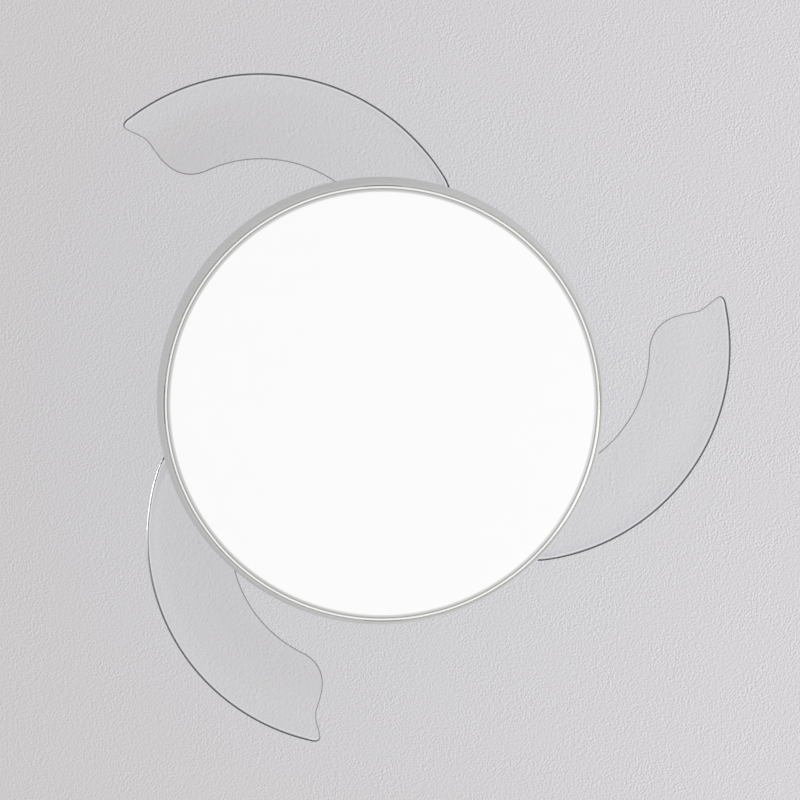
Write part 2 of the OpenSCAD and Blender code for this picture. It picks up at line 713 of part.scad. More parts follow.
// The tip's outline, in angle from the tip and radius: a rounded corner, a hollow, a swell and a long bend
tip_scale = (blade_r - blade_in_r) / 106;
function tip_point(a, drop) = [a - blade_sweep, blade_r - drop * tip_scale];
tip_curve = [for (p = concat(
    bez_path([tip_point(1.6, -0.5), tip_point(0, 0), tip_point(-0.5, 3.4), tip_point(-0.2, 7)], 5),
    bez_path([tip_point(-0.2, 8), tip_point(0.3, 15), tip_point(1.5, 22), tip_point(2.2, 31)], 4),
    bez_path([tip_point(2.25, 32), tip_point(2.9, 40), tip_point(1.8, 56), tip_point(2.6, 71)], 5),
    bez_path([tip_point(2.7, 72), tip_point(3.6, 91), tip_point(7.5, 103.5), tip_point(15, 106.3)], 7)))
    polar(p[0], p[1])];

// The root's outline on its outer and inner side, in angle from the pivot and radius
root_outer = [for (p = bez_path([[-14, blade_r + 0.5], [-8, blade_r - 2], [-5, blade_r - 11],
    [0, pivot_r + pad_r - 1]], 8)) polar(p[0], p[1])];
root_inner = [for (p = bez_path([[-16, blade_in_r - 0.5], [-10, blade_in_r + 1], [-6, blade_in_r + 7],
    [0, pivot_r - pad_r + 1]], 6)) polar(p[0], p[1])];

module blade(k) {
    far = blade_r + 30;
    color(clear) on_blade(k) difference() {
        union() {
            difference() {
                translate([-pivot_r, 0, 0]) rotate([0, 0, -blade_sweep - 2])
                    rotate_extrude(angle = blade_sweep + 2, $fn = 180) panel_section();
                translate([-pivot_r, 0, cut_low]) linear_extrude(cut_h) {
                    polygon(concat(tip_curve, [polar(-blade_sweep, blade_in_r - 20),
                        polar(-blade_sweep - 14, blade_in_r), polar(-blade_sweep - 12, far),
                        polar(-blade_sweep + 3, far)]));
                    polygon(concat(root_outer, [polar(4, far - 30), polar(4, far + 6), polar(-10, far + 6)]));
                    polygon(concat(root_inner, [polar(4, blade_in_r - 10), polar(-10, blade_in_r - 10)]));
                }
                translate([0, 0, cut_low]) cylinder(r = pad_r - root_lap, h = cut_h);
            }
            intersection() {
                translate([-pivot_r, 0, 0]) rotate([0, 0, -root_a])
                    rotate_extrude(angle = 2 * root_a, $fn = 180)
                    root_section();
                translate([0, 0, cut_low]) cylinder(r = pad_r, h = cut_h);
            }
        }
        translate([0, 0, z_pad]) cylinder(r = recess_r, h = cut_h);
        translate([0, 0, cut_low]) cylinder(r = recess_r, h = z_clamp - cut_low);
        translate([0, 0, z_clamp - 1]) cylinder(r = barrel_r + barrel_play, h = pad_t + 2);
        spread(3, blade_screw_pcd / 2, 90) translate([0, 0, z_clamp - 1])
            cylinder(r = m4 + slip, h = pad_t + 2);
    }
}

barrel_r = post_r + bush_t + barrel_t;
blade_screw_in = 2.8;               // how far a blade's screws go into the hub's flange
lug_top = z_hub - 3.5;
module blade_hub(k) {
    color(cast) on_blade(k) difference() {
        union() {
            translate([0, 0, z_clamp_low]) cylinder(r = barrel_r, h = z_hub - z_clamp_low);
            translate([0, 0, z_pad]) cylinder(r = hub_r, h = hub_t);
            rotate([0, 0, lug_angle]) translate([spring_r + wire_r + 5, -lug_w / 2, z_pad + 0.5])
                cube([hub_r - spring_r - 7, lug_w, lug_top - z_pad - 0.5]);
            rotate([0, 0, lug_angle]) translate([hub_r - 6, -lug_w / 2, z_hub_flange])
                cube([stop_r + 5 - hub_r + 6, lug_w, lug_top - z_hub_flange]);
            rotate([0, 0, top_peg_a - opens[k - 1] - 360 * spring_turns])
                translate([peg_at[0], -peg_at[1], z_hub_flange - 1]) cylinder(r = peg_r, h = 4.6, $fn = 32);
        }
        translate([0, 0, z_clamp_low - eps]) cylinder(r = post_r + bush_t, h = z_hub - z_clamp_low + 2 * eps);
        spread(3, blade_screw_pcd / 2, 90) translate([0, 0, z_pad - eps])
            cylinder(r = m4 + tap, h = blade_screw_in + 0.2 + eps, $fn = 32);
    }
}

module blade_clamp(k) {
    color(steel) on_blade(k) difference() {
        translate([0, 0, z_clamp_low]) cylinder(r = hub_r - 2, h = clamp_t);
        translate([0, 0, z_clamp_low - eps]) cylinder(r = barrel_r + barrel_play, h = clamp_t + 2 * eps);
        spread(3, blade_screw_pcd / 2, 90) translate([0, 0, z_clamp_low - eps])
            cylinder(r = m4 + slip, h = clamp_t + 2 * eps, $fn = 32);
    }
}

module pivot_bush(k) {
    color([0.75, 0.6, 0.35]) on_blade(k)
        ring(post_r + bush_t, post_r + fit, z_hub - z_clamp_low, z_clamp_low);
}

module blade_screws(k) {
    color(steel) on_blade(k) spread(3, blade_screw_pcd / 2, 90)
        screw_up(m4, clamp_t + pad_t + blade_screw_in, 4, 2.4, z_clamp_low);
}

// ---- Lamp ----
nut_h = 9;
pan_screw_r = 30;
flange_r = pan_screw_r + 14;

module lamp_flange() {
    color(cast) difference() {
        union() {
            translate([0, 0, z_deck]) cylinder(r = flange_r, h = flange_t);
            translate([0, 0, z_deck]) cylinder(r = shaft_r + 8, h = flange_h + flange_t);
        }
        translate([0, 0, z_deck - eps]) cylinder(r = shaft_r, h = flange_h + flange_t + 2 * eps);
        spread(4, pan_screw_r, 45) translate([0, 0, z_deck - eps])
            cylinder(r = m5 + tap, h = flange_t + 2 * eps, $fn = 32);
    }
}

module lamp_nut() {
    color(steel) difference() {
        translate([0, 0, z_deck - pan_t - nut_h]) cylinder(r = shaft_r + 7, h = nut_h, $fn = 6);
        translate([0, 0, z_deck - pan_t - nut_h - eps]) cylinder(r = shaft_r, h = nut_h + 2 * eps);
    }
}

z_wall_top = z_deck - pan_corner;
function pan_wall_r(z) = let (s = (z - z_rim) / (z_wall_top - z_rim))
    rim_r + pan_flare * s + pan_bulge * 4 * s * (1 - s);
pan_path = concat([[shaft_r + 0.3, z_deck]],
    [for (i = [0:4]) let (a = 90 - i * 22.5) [deck_r - pan_corner + pan_corner * cos(a),
        z_wall_top + pan_corner * sin(a)]],
    [for (i = [1:8]) let (z = z_wall_top + (z_rim - z_wall_top) * i / 8) [pan_wall_r(z), z]]);

module lamp_pan() {
    color(body_paint) difference() {
        rotate_extrude($fn = 180) polygon(wall(pan_path, -pan_t));
        spread(4, pan_screw_r, 45) translate([0, 0, z_deck - pan_t - eps])
            cylinder(r = m5 + slip, h = pan_t + 2 * eps, $fn = 32);
    }
}

module pan_screws() {
    color(steel) spread(4, pan_screw_r, 45) screw_up(m5, pan_t + flange_t - 0.4, 4.6, 3, z_deck - pan_t);
}

board_count = 6;
board_in_r = norm([box_size[0] / 2, board_box_y + box_size[1]]) + 6;
board_out_r = rim_r - 32;
board_t = 1.6;
spacer_h = 5;
spacer_r = 3.6;
z_board = z_deck - pan_t - spacer_h - board_t;
spacer_rs = [board_in_r + 12, board_out_r - 12];
chip = [3, 3, 0.9];
chip_rings = 3;

module led_boards() {
    color(white) difference() {
        ring(board_out_r, board_in_r, board_t, z_board);
        for (i = [0:board_count - 1]) rotate([0, 0, i * 360 / board_count])
            translate([board_in_r - 2, -0.5, z_board - eps])
                cube([board_out_r - board_in_r + 4, 1, board_t + 2 * eps]);
        for (r = spacer_rs) spread(board_count, r, 30) translate([0, 0, z_board - eps])
            cylinder(r = m3 + slip, h = board_t + 2 * eps, $fn = 32);
    }
}

module led_chips() {
    color([0.95, 0.85, 0.4]) for (j = [1:chip_rings]) let (r = board_in_r
        + (board_out_r - board_in_r) * (j - 0.5) / chip_rings, per_board = 2 + j)
        for (b = [0:board_count - 1]) for (i = [0:per_board - 1])
            rotate([0, 0, (b + (i + 0.5) / per_board) * 360 / board_count])
                translate([r, 0, z_board - chip[2] / 2]) cube(chip, center = true);
}

module board_spacers() {
    color(white) for (r = spacer_rs) spread(board_count, r, 30)
        ring(spacer_r, m3 + slip, spacer_h, z_board + board_t, $fn = 32);
}

module board_screws() {
    color(steel) for (r = spacer_rs) spread(board_count, r, 30)
        screw_up(m3, board_t + spacer_h, 2.6, 1.2, z_board);
}

module circuit_box(y) {
    color(white) difference() {
        union() {
            translate([-box_size[0] / 2, y, z_deck - pan_t - box_size[2]]) cube(box_size);
            translate([-box_size[0] / 2 - box_tab, y + box_tab, z_deck - pan_t - 1.5])
                cube([box_size[0] + 2 * box_tab, box_size[1] - 2 * box_tab, 1.5]);
        }
        for (x = [-1, 1])
            translate([x * (box_size[0] + box_tab) / 2, y + box_size[1] / 2, z_deck - pan_t - 3])
            cylinder(r = m35 + tap, h = 4, $fn = 32);
    }
}
module led_driver() { circuit_box(board_box_y); }
module fan_controller() { circuit_box(-board_box_y - box_size[1]); }

// Bayonet: lugs on the trim ring lie on catches that are welded inside the pan wall
catch_a = 5;                // half the angle of a catch
catch_t = 2;
catch_h = 12;
z_catch = z_face + 12;
catch_in_r = ring_out_r - 8;
lug_t = 2;
z_lug = z_catch + catch_t + seat;
leg_a = 2.4;

module sector(r_out, r_in, z, h, a0, a1) {
    rotate([0, 0, a0]) rotate_extrude(angle = a1 - a0, $fn = 180)
        translate([r_in, z]) square([r_out - r_in, h]);
}

module shade_catches() {
    zs = [for (i = [0:4]) z_catch + catch_h * i / 4];
    section = concat([[catch_in_r, z_catch]], [for (z = zs) [pan_wall_r(z) - pan_t - 0.15, z]],
        [for (i = [4:-1:1]) let (z = zs[i]) [pan_wall_r(z) - pan_t - 1.7, z]],
        [[pan_wall_r(z_catch + catch_t) - pan_t - 1.7, z_catch + catch_t], [catch_in_r, z_catch + catch_t]]);
    color(steel) for (i = [0:catch_count - 1]) rotate([0, 0, i * 360 / catch_count - catch_a])
        rotate_extrude(angle = 2 * catch_a, $fn = 180) polygon(section);
}

// The ring's section is a channel that grips the diffuser's rim
groove_z = z_face + 1.8;
groove_h = diffuser_t + 0.2;
ring_top = z_face + 9;
ring_wall_in = ring_out_r - ring_t;
ring_crown = 1.2;           // how far the bright face is rounded back at its two sides
ring_face = [for (i = [0:8]) let (a = 180 - i * 22.5)
    [ring_in_r + ring_face_w * (1 + cos(a)) / 2, z_face + ring_crown * (1 - sin(a))]];

module trim_ring() {
    color(ring_metal) {
        rotate_extrude($fn = 180) polygon(concat(ring_face, [
            [ring_out_r, ring_top], [ring_wall_in, ring_top],
            [ring_wall_in, groove_z + groove_h + 1.4], [ring_in_r - 0.3, groove_z + groove_h + 1.4],
            [ring_in_r - 0.3, groove_z + groove_h], [ring_wall_in, groove_z + groove_h],
            [ring_wall_in, groove_z], [ring_in_r, groove_z]]));
        for (i = [0:catch_count - 1]) rotate([0, 0, i * 360 / catch_count]) {
            sector(ring_out_r - 0.3, ring_out_r - 3, ring_top - 2, z_lug + lug_t / 2 - ring_top + 2,
                catch_a + 0.1, catch_a + leg_a - 0.1);
            sector(ring_out_r - 0.2, catch_in_r + 1, z_lug, lug_t, 1 - catch_a, catch_a + leg_a);
        }
    }
}

// The diffuser's lower face is a shallow dome with a rounded shoulder and a thin rim above it
flat_r = diffuser_r - shoulder_r;
z_rim_low = groove_z + 0.1;
z_shoulder = z_rim_low - 0.6 - shoulder_r;
diffuser_path = concat(
    [for (i = [0:8]) let (s = i / 8) [flat_r * s, z_shoulder - diffuser_crown * (1 - s * s)]],
    [for (i = [1:5]) let (a = i * 18) [flat_r + shoulder_r * sin(a), z_shoulder + shoulder_r * (1 - cos(a))]],
    [[diffuser_r, z_rim_low]]);

module diffuser() {
    color(opal) rotate_extrude($fn = 180) union() {
        polygon(wall(diffuser_path, diffuser_t));
        translate([diffuser_r - diffuser_t, z_rim_low]) square([ring_wall_in - 0.3 - diffuser_r + diffuser_t,
            diffuser_t]);
    }
}

hanger_bracket();
hanger_collar();
hanger_bolts();
collar_screws();
canopy();
canopy_screws();
terminal_block();
supply_lead();
motor_shaft();
stator_core();
stator_coils();
bearing_inner_races();
lamp_flange();
lamp_nut();
lamp_pan();
pan_screws();
led_boards();
led_chips();
board_spacers();
board_screws();
led_driver();
fan_controller();
shade_catches();
trim_ring();
diffuser();
motor_upper_shell();
motor_lower_shell();
rotor_yoke();
rotor_magnets();
bearing_outer_races();
bearing_balls();
shell_bolts();
blade_carrier();
pivot_posts();
pivot_washers();
pivot_clips();
open_bumpers();
closed_bumpers();
blade_cover();
cover_screws();
return_spring(1);  // return_spring_1
return_spring(2);  // return_spring_2
return_spring(3);  // return_spring_3
blade(1);  // blade_1
blade(2);  // blade_2
blade(3);  // blade_3
blade_hub(1);  // blade_hub_1
blade_hub(2);  // blade_hub_2
blade_hub(3);  // blade_hub_3
blade_clamp(1);  // blade_clamp_1
blade_clamp(2);  // blade_clamp_2
blade_clamp(3);  // blade_clamp_3
pivot_bush(1);  // pivot_bush_1
pivot_bush(2);  // pivot_bush_2
pivot_bush(3);  // pivot_bush_3
blade_screws(1);  // blade_screws_1
blade_screws(2);  // blade_screws_2
blade_screws(3);  // blade_screws_3
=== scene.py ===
# Ceiling fan with a round lamp and three clear blades that fold away above it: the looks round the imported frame.
# Metres. The fan hangs from the origin; seen from below, +X points right and +Y points down.
import json
import math

import bmesh
import bpy
import numpy as np
from mathutils import Matrix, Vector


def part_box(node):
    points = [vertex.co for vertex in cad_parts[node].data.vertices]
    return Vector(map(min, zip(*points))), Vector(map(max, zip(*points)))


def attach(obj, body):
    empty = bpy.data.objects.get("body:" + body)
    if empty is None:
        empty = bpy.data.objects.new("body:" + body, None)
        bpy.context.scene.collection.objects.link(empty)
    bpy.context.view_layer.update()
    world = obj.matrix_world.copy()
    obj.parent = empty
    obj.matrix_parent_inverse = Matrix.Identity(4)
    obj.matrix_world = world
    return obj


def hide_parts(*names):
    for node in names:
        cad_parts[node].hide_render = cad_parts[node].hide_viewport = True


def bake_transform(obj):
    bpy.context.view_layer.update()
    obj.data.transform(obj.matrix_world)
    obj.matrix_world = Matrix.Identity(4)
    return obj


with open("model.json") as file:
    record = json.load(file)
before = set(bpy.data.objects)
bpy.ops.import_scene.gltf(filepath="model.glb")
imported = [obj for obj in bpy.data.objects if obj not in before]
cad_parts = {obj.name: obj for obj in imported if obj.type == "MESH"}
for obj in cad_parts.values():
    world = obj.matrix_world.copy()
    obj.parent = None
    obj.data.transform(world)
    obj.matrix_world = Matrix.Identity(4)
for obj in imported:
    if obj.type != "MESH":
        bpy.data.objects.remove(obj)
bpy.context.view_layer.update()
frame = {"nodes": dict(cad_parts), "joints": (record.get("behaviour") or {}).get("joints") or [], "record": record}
joints = {joint["name"]: joint for joint in frame["joints"]}
mm = 0.001
print("frame loaded:", len(frame["nodes"]), "nodes")


def addObject(name, data):
    thing = bpy.data.objects.new(name, data)
    bpy.context.scene.collection.objects.link(thing)
    return thing


# Camera, from straight below.

cameraValues = {
    "place": (-0.06419, -0.11685, -2.02348),
    "tiltX": 3.4907,        # degrees
    "tiltY": -2.6558,
    "focalPixels": 1500,
    "framePixels": 800,
    "sensor": 36,           # millimetres
}


def makeCamera(v):
    # the rows of the turn are the picture's right, down and forward directions
    tilt = Matrix.Rotation(math.radians(v["tiltX"]), 3, "X") @ Matrix.Rotation(math.radians(v["tiltY"]), 3, "Y")
    right, down, forward = tilt[0], tilt[1], tilt[2]
    data = bpy.data.cameras.new("photoView")
    data.sensor_width = v["sensor"]
    data.lens = v["focalPixels"] / v["framePixels"] * v["sensor"]
    camera = addObject("photoView", data)
    turn = Matrix((right, -down, -forward)).transposed()
    camera.matrix_world = Matrix.Translation(v["place"]) @ turn.to_4x4()
    bpy.context.scene.camera = camera


makeCamera(cameraValues)


# Surfaces.

# A cubic Bezier through its four control points, as count + 1 points at even steps.
def bezier(points, count):
    p = np.array(points, float)
    t = np.linspace(0, 1, count + 1)[:, None]
    return (1 - t) ** 3 * p[0] + 3 * t * (1 - t) ** 2 * p[1] + 3 * t ** 2 * (1 - t) * p[2] + t ** 3 * p[3]


def unit(v):
    return v / np.maximum(np.linalg.norm(v, axis=-1, keepdims=True), 1e-12)


# 0 before start, 1 after end, and 3t^2 - 2t^3 between them.
def smoothStep(x, start, end):
    t = np.clip((x - start) / (end - start), 0, 1)
    return t * t * (3 - 2 * t)


# An open path moved sideways by t, to the left of its direction: each point goes along the mean of the
# two neighbouring normals, lengthened so that both sides stay t away.
def stepAside(path, t):
    along = unit(np.diff(path, axis=0))
    before = np.vstack([along[:1], along])
    after = np.vstack([along, along[-1:]])
    leftBefore = np.stack([-before[:, 1], before[:, 0]], 1)
    leftAfter = np.stack([-after[:, 1], after[:, 0]], 1)
    mean = unit(leftBefore + leftAfter)
    return path + mean * (t / np.sum(mean * leftBefore, 1))[:, None]


# A rectangle's outline, from its low corner round to the left of its high one.
def rectangle(left, low, right, high):
    return np.array([[left, low], [right, low], [right, high], [left, high]])


# The closed outline of a wall of thickness t whose outer face is the path.
def sheetWall(path, t):
    inner = stepAside(path, t)[::-1]
    inner[:, 0] = np.maximum(inner[:, 0], 0)
    return np.vstack([path, inner])


# A closed outline with each corner sharper than least degrees replaced by a parabola that starts
# and ends a radius away from it, or at 0.45 of the side if that is shorter.
def softCorners(outline, radius, steps=5, least=20):
    out = []
    count = len(outline)
    for i, corner in enumerate(outline):
        back = outline[i - 1] - corner
        ahead = outline[(i + 1) % count] - corner
        lengths = np.linalg.norm(back), np.linalg.norm(ahead)
        if min(lengths) < 1e-9:
            continue
        turn = 180 - math.degrees(math.acos(np.clip(back @ ahead / (lengths[0] * lengths[1]), -1, 1)))
        if turn < least:
            out.append(corner)
            continue
        start = corner + back / lengths[0] * min(radius, 0.45 * lengths[0])
        end = corner + ahead / lengths[1] * min(radius, 0.45 * lengths[1])
        for t in np.linspace(0, 1, steps):
            out.append((1 - t) ** 2 * start + 2 * t * (1 - t) * corner + t ** 2 * end)
    return np.array(out)


# Quads between neighbouring rows and columns of a grid of points, closed round where wrap says so.
def gridFaces(rows, columns, wrapRows, wrapColumns):
    i = np.arange(rows if wrapRows else rows - 1)[:, None]
    j = np.arange(columns if wrapColumns else columns - 1)[None, :]
    ahead, beside = (i + 1) % rows, (j + 1) % columns
    corners = [i * columns + j, ahead * columns + j, ahead * columns + beside, i * columns + beside]
    return np.stack([np.broadcast_to(c, (i.size, j.size)) for c in corners], -1).reshape(-1, 4)


# A closed outline of (radius, height) carried round Z: x = r cos a, y = r sin a, z = h.
def lathe(outline, segments, arc=360, start=0):
    whole = arc == 360
    angles = np.radians(start + np.linspace(0, arc, segments + (0 if whole else 1), endpoint=not whole))
    r, h = outline[:, 0][None, :], outline[:, 1][None, :]
    points = np.stack([r * np.cos(angles)[:, None], r * np.sin(angles)[:, None], h + 0 * angles[:, None]], -1)
    faces = gridFaces(points.shape[0], points.shape[1], whole, True)
    return points.reshape(-1, 3), faces


# A round tube: each point of the path carries a circle in the plane of its normal and binormal.
def tubeAlong(path, normals, radius, sides):
    along = unit(np.gradient(path, axis=0))
    normals = unit(normals - along * np.sum(normals * along, 1, keepdims=True))
    across = np.cross(along, normals)
    a = np.linspace(0, 2 * np.pi, sides, endpoint=False)
    points = (path[:, None] + radius * (np.cos(a)[None, :, None] * normals[:, None]
              + np.sin(a)[None, :, None] * across[:, None]))
    return points.reshape(-1, 3), gridFaces(len(path), sides, False, True)


# Points turned about Z by turn degrees and then moved by x.
def placed(points, x=0, turn=0):
    c, s = math.cos(math.radians(turn)), math.sin(math.radians(turn))
    spun = np.stack([points[:, 0] * c - points[:, 1] * s, points[:, 0] * s + points[:, 1] * c, points[:, 2]], 1)
    return spun + np.array([x, 0, 0])


# Several (points, faces) pairs as one.
def joined(*parts):
    starts = np.cumsum([0] + [len(p) for p, _ in parts[:-1]])
    return np.vstack([p for p, _ in parts]), np.vstack([f + s for (_, f), s in zip(parts, starts)])


# A mesh object from points and quads, with doubles merged and faces outwards; closeEnds fills its open ends.
def makePiece(name, surface, attributes=None, sharp=38, closeEnds=False, merge=1e-6):
    points, faces = surface
    mesh = bpy.data.meshes.new(name)
    mesh.vertices.add(len(points))
    mesh.vertices.foreach_set("co", points.astype(np.float32).ravel())
    mesh.loops.add(faces.size)
    mesh.loops.foreach_set("vertex_index", faces.astype(np.int32).ravel())
    mesh.polygons.add(len(faces))
    mesh.polygons.foreach_set("loop_start", np.arange(0, faces.size, 4, dtype=np.int32))
    mesh.update(calc_edges=True)
    for key, values in (attributes or {}).items():
        layer = mesh.attributes.new(key, "FLOAT", "POINT")
        layer.data.foreach_set("value", values.astype(np.float32).ravel())
    work = bmesh.new()
    work.from_mesh(mesh)
    bmesh.ops.remove_doubles(work, verts=work.verts, dist=merge)
    if closeEnds:
        bmesh.ops.holes_fill(work, edges=[e for e in work.edges if e.is_boundary], sides=0)
    bmesh.ops.recalc_face_normals(work, faces=work.faces)
    work.to_mesh(mesh)
    work.free()
    mesh.polygons.foreach_set("use_smooth", np.ones(len(mesh.polygons), bool))
    mesh.set_sharp_from_angle(angle=math.radians(sharp))
    mesh.update()
    return addObject(name, mesh)


def finishPiece(piece, material, body, slot, *nodes):
    piece.data.materials.append(material)
    if body:
        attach(piece, body)
    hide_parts(*nodes)
    print("piece", piece.name, len(piece.data.polygons), "faces")


# Shader groups.

# An empty node group with named inputs (kind, default) and outputs (kind).
def newGroup(name, inputs, outputs):
    group = bpy.data.node_groups.new(name, "ShaderNodeTree")
    kinds = {"value": "NodeSocketFloat", "colour": "NodeSocketColor"}
    for key, (kind, default) in inputs.items():
        socket = group.interface.new_socket(name=key, in_out="INPUT", socket_type=kinds[kind])
        socket.default_value = default
    for key, kind in outputs.items():
        group.interface.new_socket(name=key, in_out="OUTPUT", socket_type=kinds[kind])
    return group, group.nodes.new("NodeGroupInput"), group.nodes.new("NodeGroupOutput")


def setInputs(node, values):
    for key, value in values.items():
        node.inputs[key].default_value = value


def addNode(tree, kind, values=None, **settings):
    node = tree.nodes.new(kind)
    for key, value in settings.items():
        setattr(node, key, value)
    setInputs(node, values or {})
    return node


# Links a socket to another one, or gives it a plain value.
def feed(tree, socket, value):
    if hasattr(value, "is_linked"):
        tree.links.new(value, socket)
    else:
        socket.default_value = value


# A Math node; a and b are sockets or numbers. Returns its output.
def addMath(tree, operation, a, b=None):
    node = addNode(tree, "ShaderNodeMath", operation=operation)
    feed(tree, node.inputs[0], a)
    if b is not None:
        feed(tree, node.inputs[1], b)
    return node.outputs[0]


# A colour Mix node; each input is a socket or a value. Returns its output.
def mixColours(tree, factor, first, second, blend="MIX"):
    node = addNode(tree, "ShaderNodeMix", data_type="RGBA", blend_type=blend)
    for index, value in ((0, factor), (6, first), (7, second)):
        feed(tree, node.inputs[index], value)
    return node.outputs[2]


# Map Range, clamped; the last two may be sockets.
def remap(tree, value, low, high, toLow, toHigh):
    node = addNode(tree, "ShaderNodeMapRange", {1: low, 2: high}, clamp=True)
    tree.links.new(value, node.inputs[0])
    for index, end in ((3, toLow), (4, toHigh)):
        feed(tree, node.inputs[index], end)
    return node.outputs[0]


# Noise on the piece's own coordinates; scale is a number or a socket.
def noiseOf(tree, scale, detail=3, rough=0.55, vector=None):
    if vector is None:
        vector = addNode(tree, "ShaderNodeTexCoord").outputs["Object"]
    node = addNode(tree, "ShaderNodeTexNoise", {"Detail": detail, "Roughness": rough})
    tree.links.new(vector, node.inputs["Vector"])
    feed(tree, node.inputs["Scale"], scale)
    return node.outputs["Fac"]


# The X, Y and Z outputs of a vector.
def axesOf(tree, vector):
    node = addNode(tree, "ShaderNodeSeparateXYZ")
    tree.links.new(vector, node.inputs[0])
    return node.outputs


# A Vector Math node on a socket and, where it needs one, a second vector. Returns its outputs.
def addVectorMath(tree, operation, vector, other=None):
    node = addNode(tree, "ShaderNodeVectorMath", {1: other} if other else None, operation=operation)
    tree.links.new(vector, node.inputs[0])
    return node.outputs


# Distance of a place from the rotor axis: the length of (x, y, 0).
def axisDistance(tree, place):
    flat = addVectorMath(tree, "MULTIPLY", place, (1, 1, 0))[0]
    return addVectorMath(tree, "LENGTH", flat)["Value"]


def mixShaders(tree, factor, first, second):
    node = addNode(tree, "ShaderNodeMixShader")
    feed(tree, node.inputs[0], factor)
    tree.links.new(first, node.inputs[1])
    tree.links.new(second, node.inputs[2])
    return node.outputs[0]


midNoise = (0.35, 0.65)     # where most of a noise's values lie


# Fine grain: noise at a scale in waves per metre, as a height from 0 to 1, and a coarser one as a roughness between
# two values.
def makeGrain(coarseShare=0.06):
    group, given, out = newGroup("fineGrain", {
        "Scale": ("value", 900), "Low": ("value", 0.3), "High": ("value", 0.4)},
        {"Height": "value", "Roughness": "value"})
    noise = noiseOf(group, given.outputs["Scale"], 4, 0.6)
    coarse = noiseOf(group, addMath(group, "MULTIPLY", given.outputs["Scale"], coarseShare), 3)
    group.links.new(remap(group, noise, 0.3, 0.7, 0, 1), out.inputs["Height"])
    rough = remap(group, coarse, *midNoise, given.outputs["Low"], given.outputs["High"])
    group.links.new(rough, out.inputs["Roughness"])
    return group


dustValues = {
    "colour": (0.55, 0.54, 0.52),
    "facing": (0.55, 0.98),     # how far up a surface faces, from no dust to all of it
    "specks": 160,              # waves per metre
    "speckSpan": (0.42, 0.72),
    "least": 0.25,              # share of the dust between the specks
}


# Colour that drifts slowly between two close tones, with dust where the surface faces up.
def makeTwoTone(v):
    group, given, out = newGroup("driftAndDust", {
        "Colour": ("colour", (0.7, 0.7, 0.7, 1)), "Second": ("colour", (0.66, 0.66, 0.66, 1)),
        "Scale": ("value", 14), "Dust": ("value", 0.1)}, {"Colour": "colour"})
    drift = remap(group, noiseOf(group, given.outputs["Scale"], 2), *midNoise, 0, 1)
    base = mixColours(group, drift, given.outputs["Colour"], given.outputs["Second"])
    facing = axesOf(group, addNode(group, "ShaderNodeNewGeometry").outputs["Normal"])["Z"]
    upward = remap(group, facing, *v["facing"], 0, 1)
    specks = remap(group, noiseOf(group, v["specks"], 5, 0.65), *v["speckSpan"], v["least"], 1)
    dust = addMath(group, "MULTIPLY", addMath(group, "MULTIPLY", upward, specks), given.outputs["Dust"])
    group.links.new(mixColours(group, dust, base, (*v["colour"], 1)), out.inputs["Colour"])
    return group


# Turning marks: a sine of the distance from the rotor axis plus the height, times a noise that breaks them up.
def makeTurning(breakScale=240):
    group, given, out = newGroup("turningMarks", {
        "Pitch": ("value", 0.0006), "Low": ("value", 0.25), "High": ("value", 0.4)},
        {"Height": "value", "Roughness": "value"})
    place = addNode(group, "ShaderNodeTexCoord").outputs["Object"]
    along = addMath(group, "ADD", axisDistance(group, place), axesOf(group, place)["Z"])
    turns = addMath(group, "DIVIDE", addMath(group, "MULTIPLY", along, 2 * math.pi), given.outputs["Pitch"])
    waves = addMath(group, "SINE", turns)
    broken = addMath(group, "MULTIPLY", waves, noiseOf(group, breakScale, 2))
    group.links.new(remap(group, broken, -0.6, 0.6, 0, 1), out.inputs["Height"])
    rough = remap(group, broken, -0.5, 0.5, given.outputs["Low"], given.outputs["High"])
    group.links.new(rough, out.inputs["Roughness"])
    return group


# Flat layers across Z, such as laminations or windings: a rounded wave with thin dark joints.
def makeLayers():
    group, given, out = newGroup("stackedLayers", {
        "Pitch": ("value", 0.001), "Colour": ("colour", (0.4, 0.4, 0.4, 1)),
        "Joint": ("colour", (0.1, 0.1, 0.1, 1))}, {"Height": "value", "Colour": "colour"})
    height = axesOf(group, addNode(group, "ShaderNodeTexCoord").outputs["Object"])["Z"]
    turns = addMath(group, "DIVIDE", addMath(group, "MULTIPLY", height, math.pi), given.outputs["Pitch"])
    wave = addMath(group, "ABSOLUTE", addMath(group, "SINE", turns))
    group.links.new(wave, out.inputs["Height"])
    between = remap(group, wave, 0.05, 0.35, 0, 1)
    group.links.new(mixColours(group, between, given.outputs["Joint"], given.outputs["Colour"]), out.inputs["Colour"])
    return group


grainGroup = makeGrain()
toneGroup = makeTwoTone(dustValues)
turningGroup = makeTurning()
layerGroup = makeLayers()
print("shader groups made")


# Finishes.

def newMaterial(name):
    material = bpy.data.materials.new(name)
    material.use_nodes = True
    shader = next(n for n in material.node_tree.nodes if n.type == "BSDF_PRINCIPLED")
    return material, material.node_tree, shader


def placeGroup(tree, group, values):
    node = tree.nodes.new("ShaderNodeGroup")
    node.node_tree = group
    setInputs(node, values)
    return node


def addBump(tree, shader, height, strength, distance):
    bump = addNode(tree, "ShaderNodeBump", {"Strength": strength, "Distance": distance})
    tree.links.new(height, bump.inputs["Height"])
    tree.links.new(bump.outputs["Normal"], shader.inputs["Normal"])


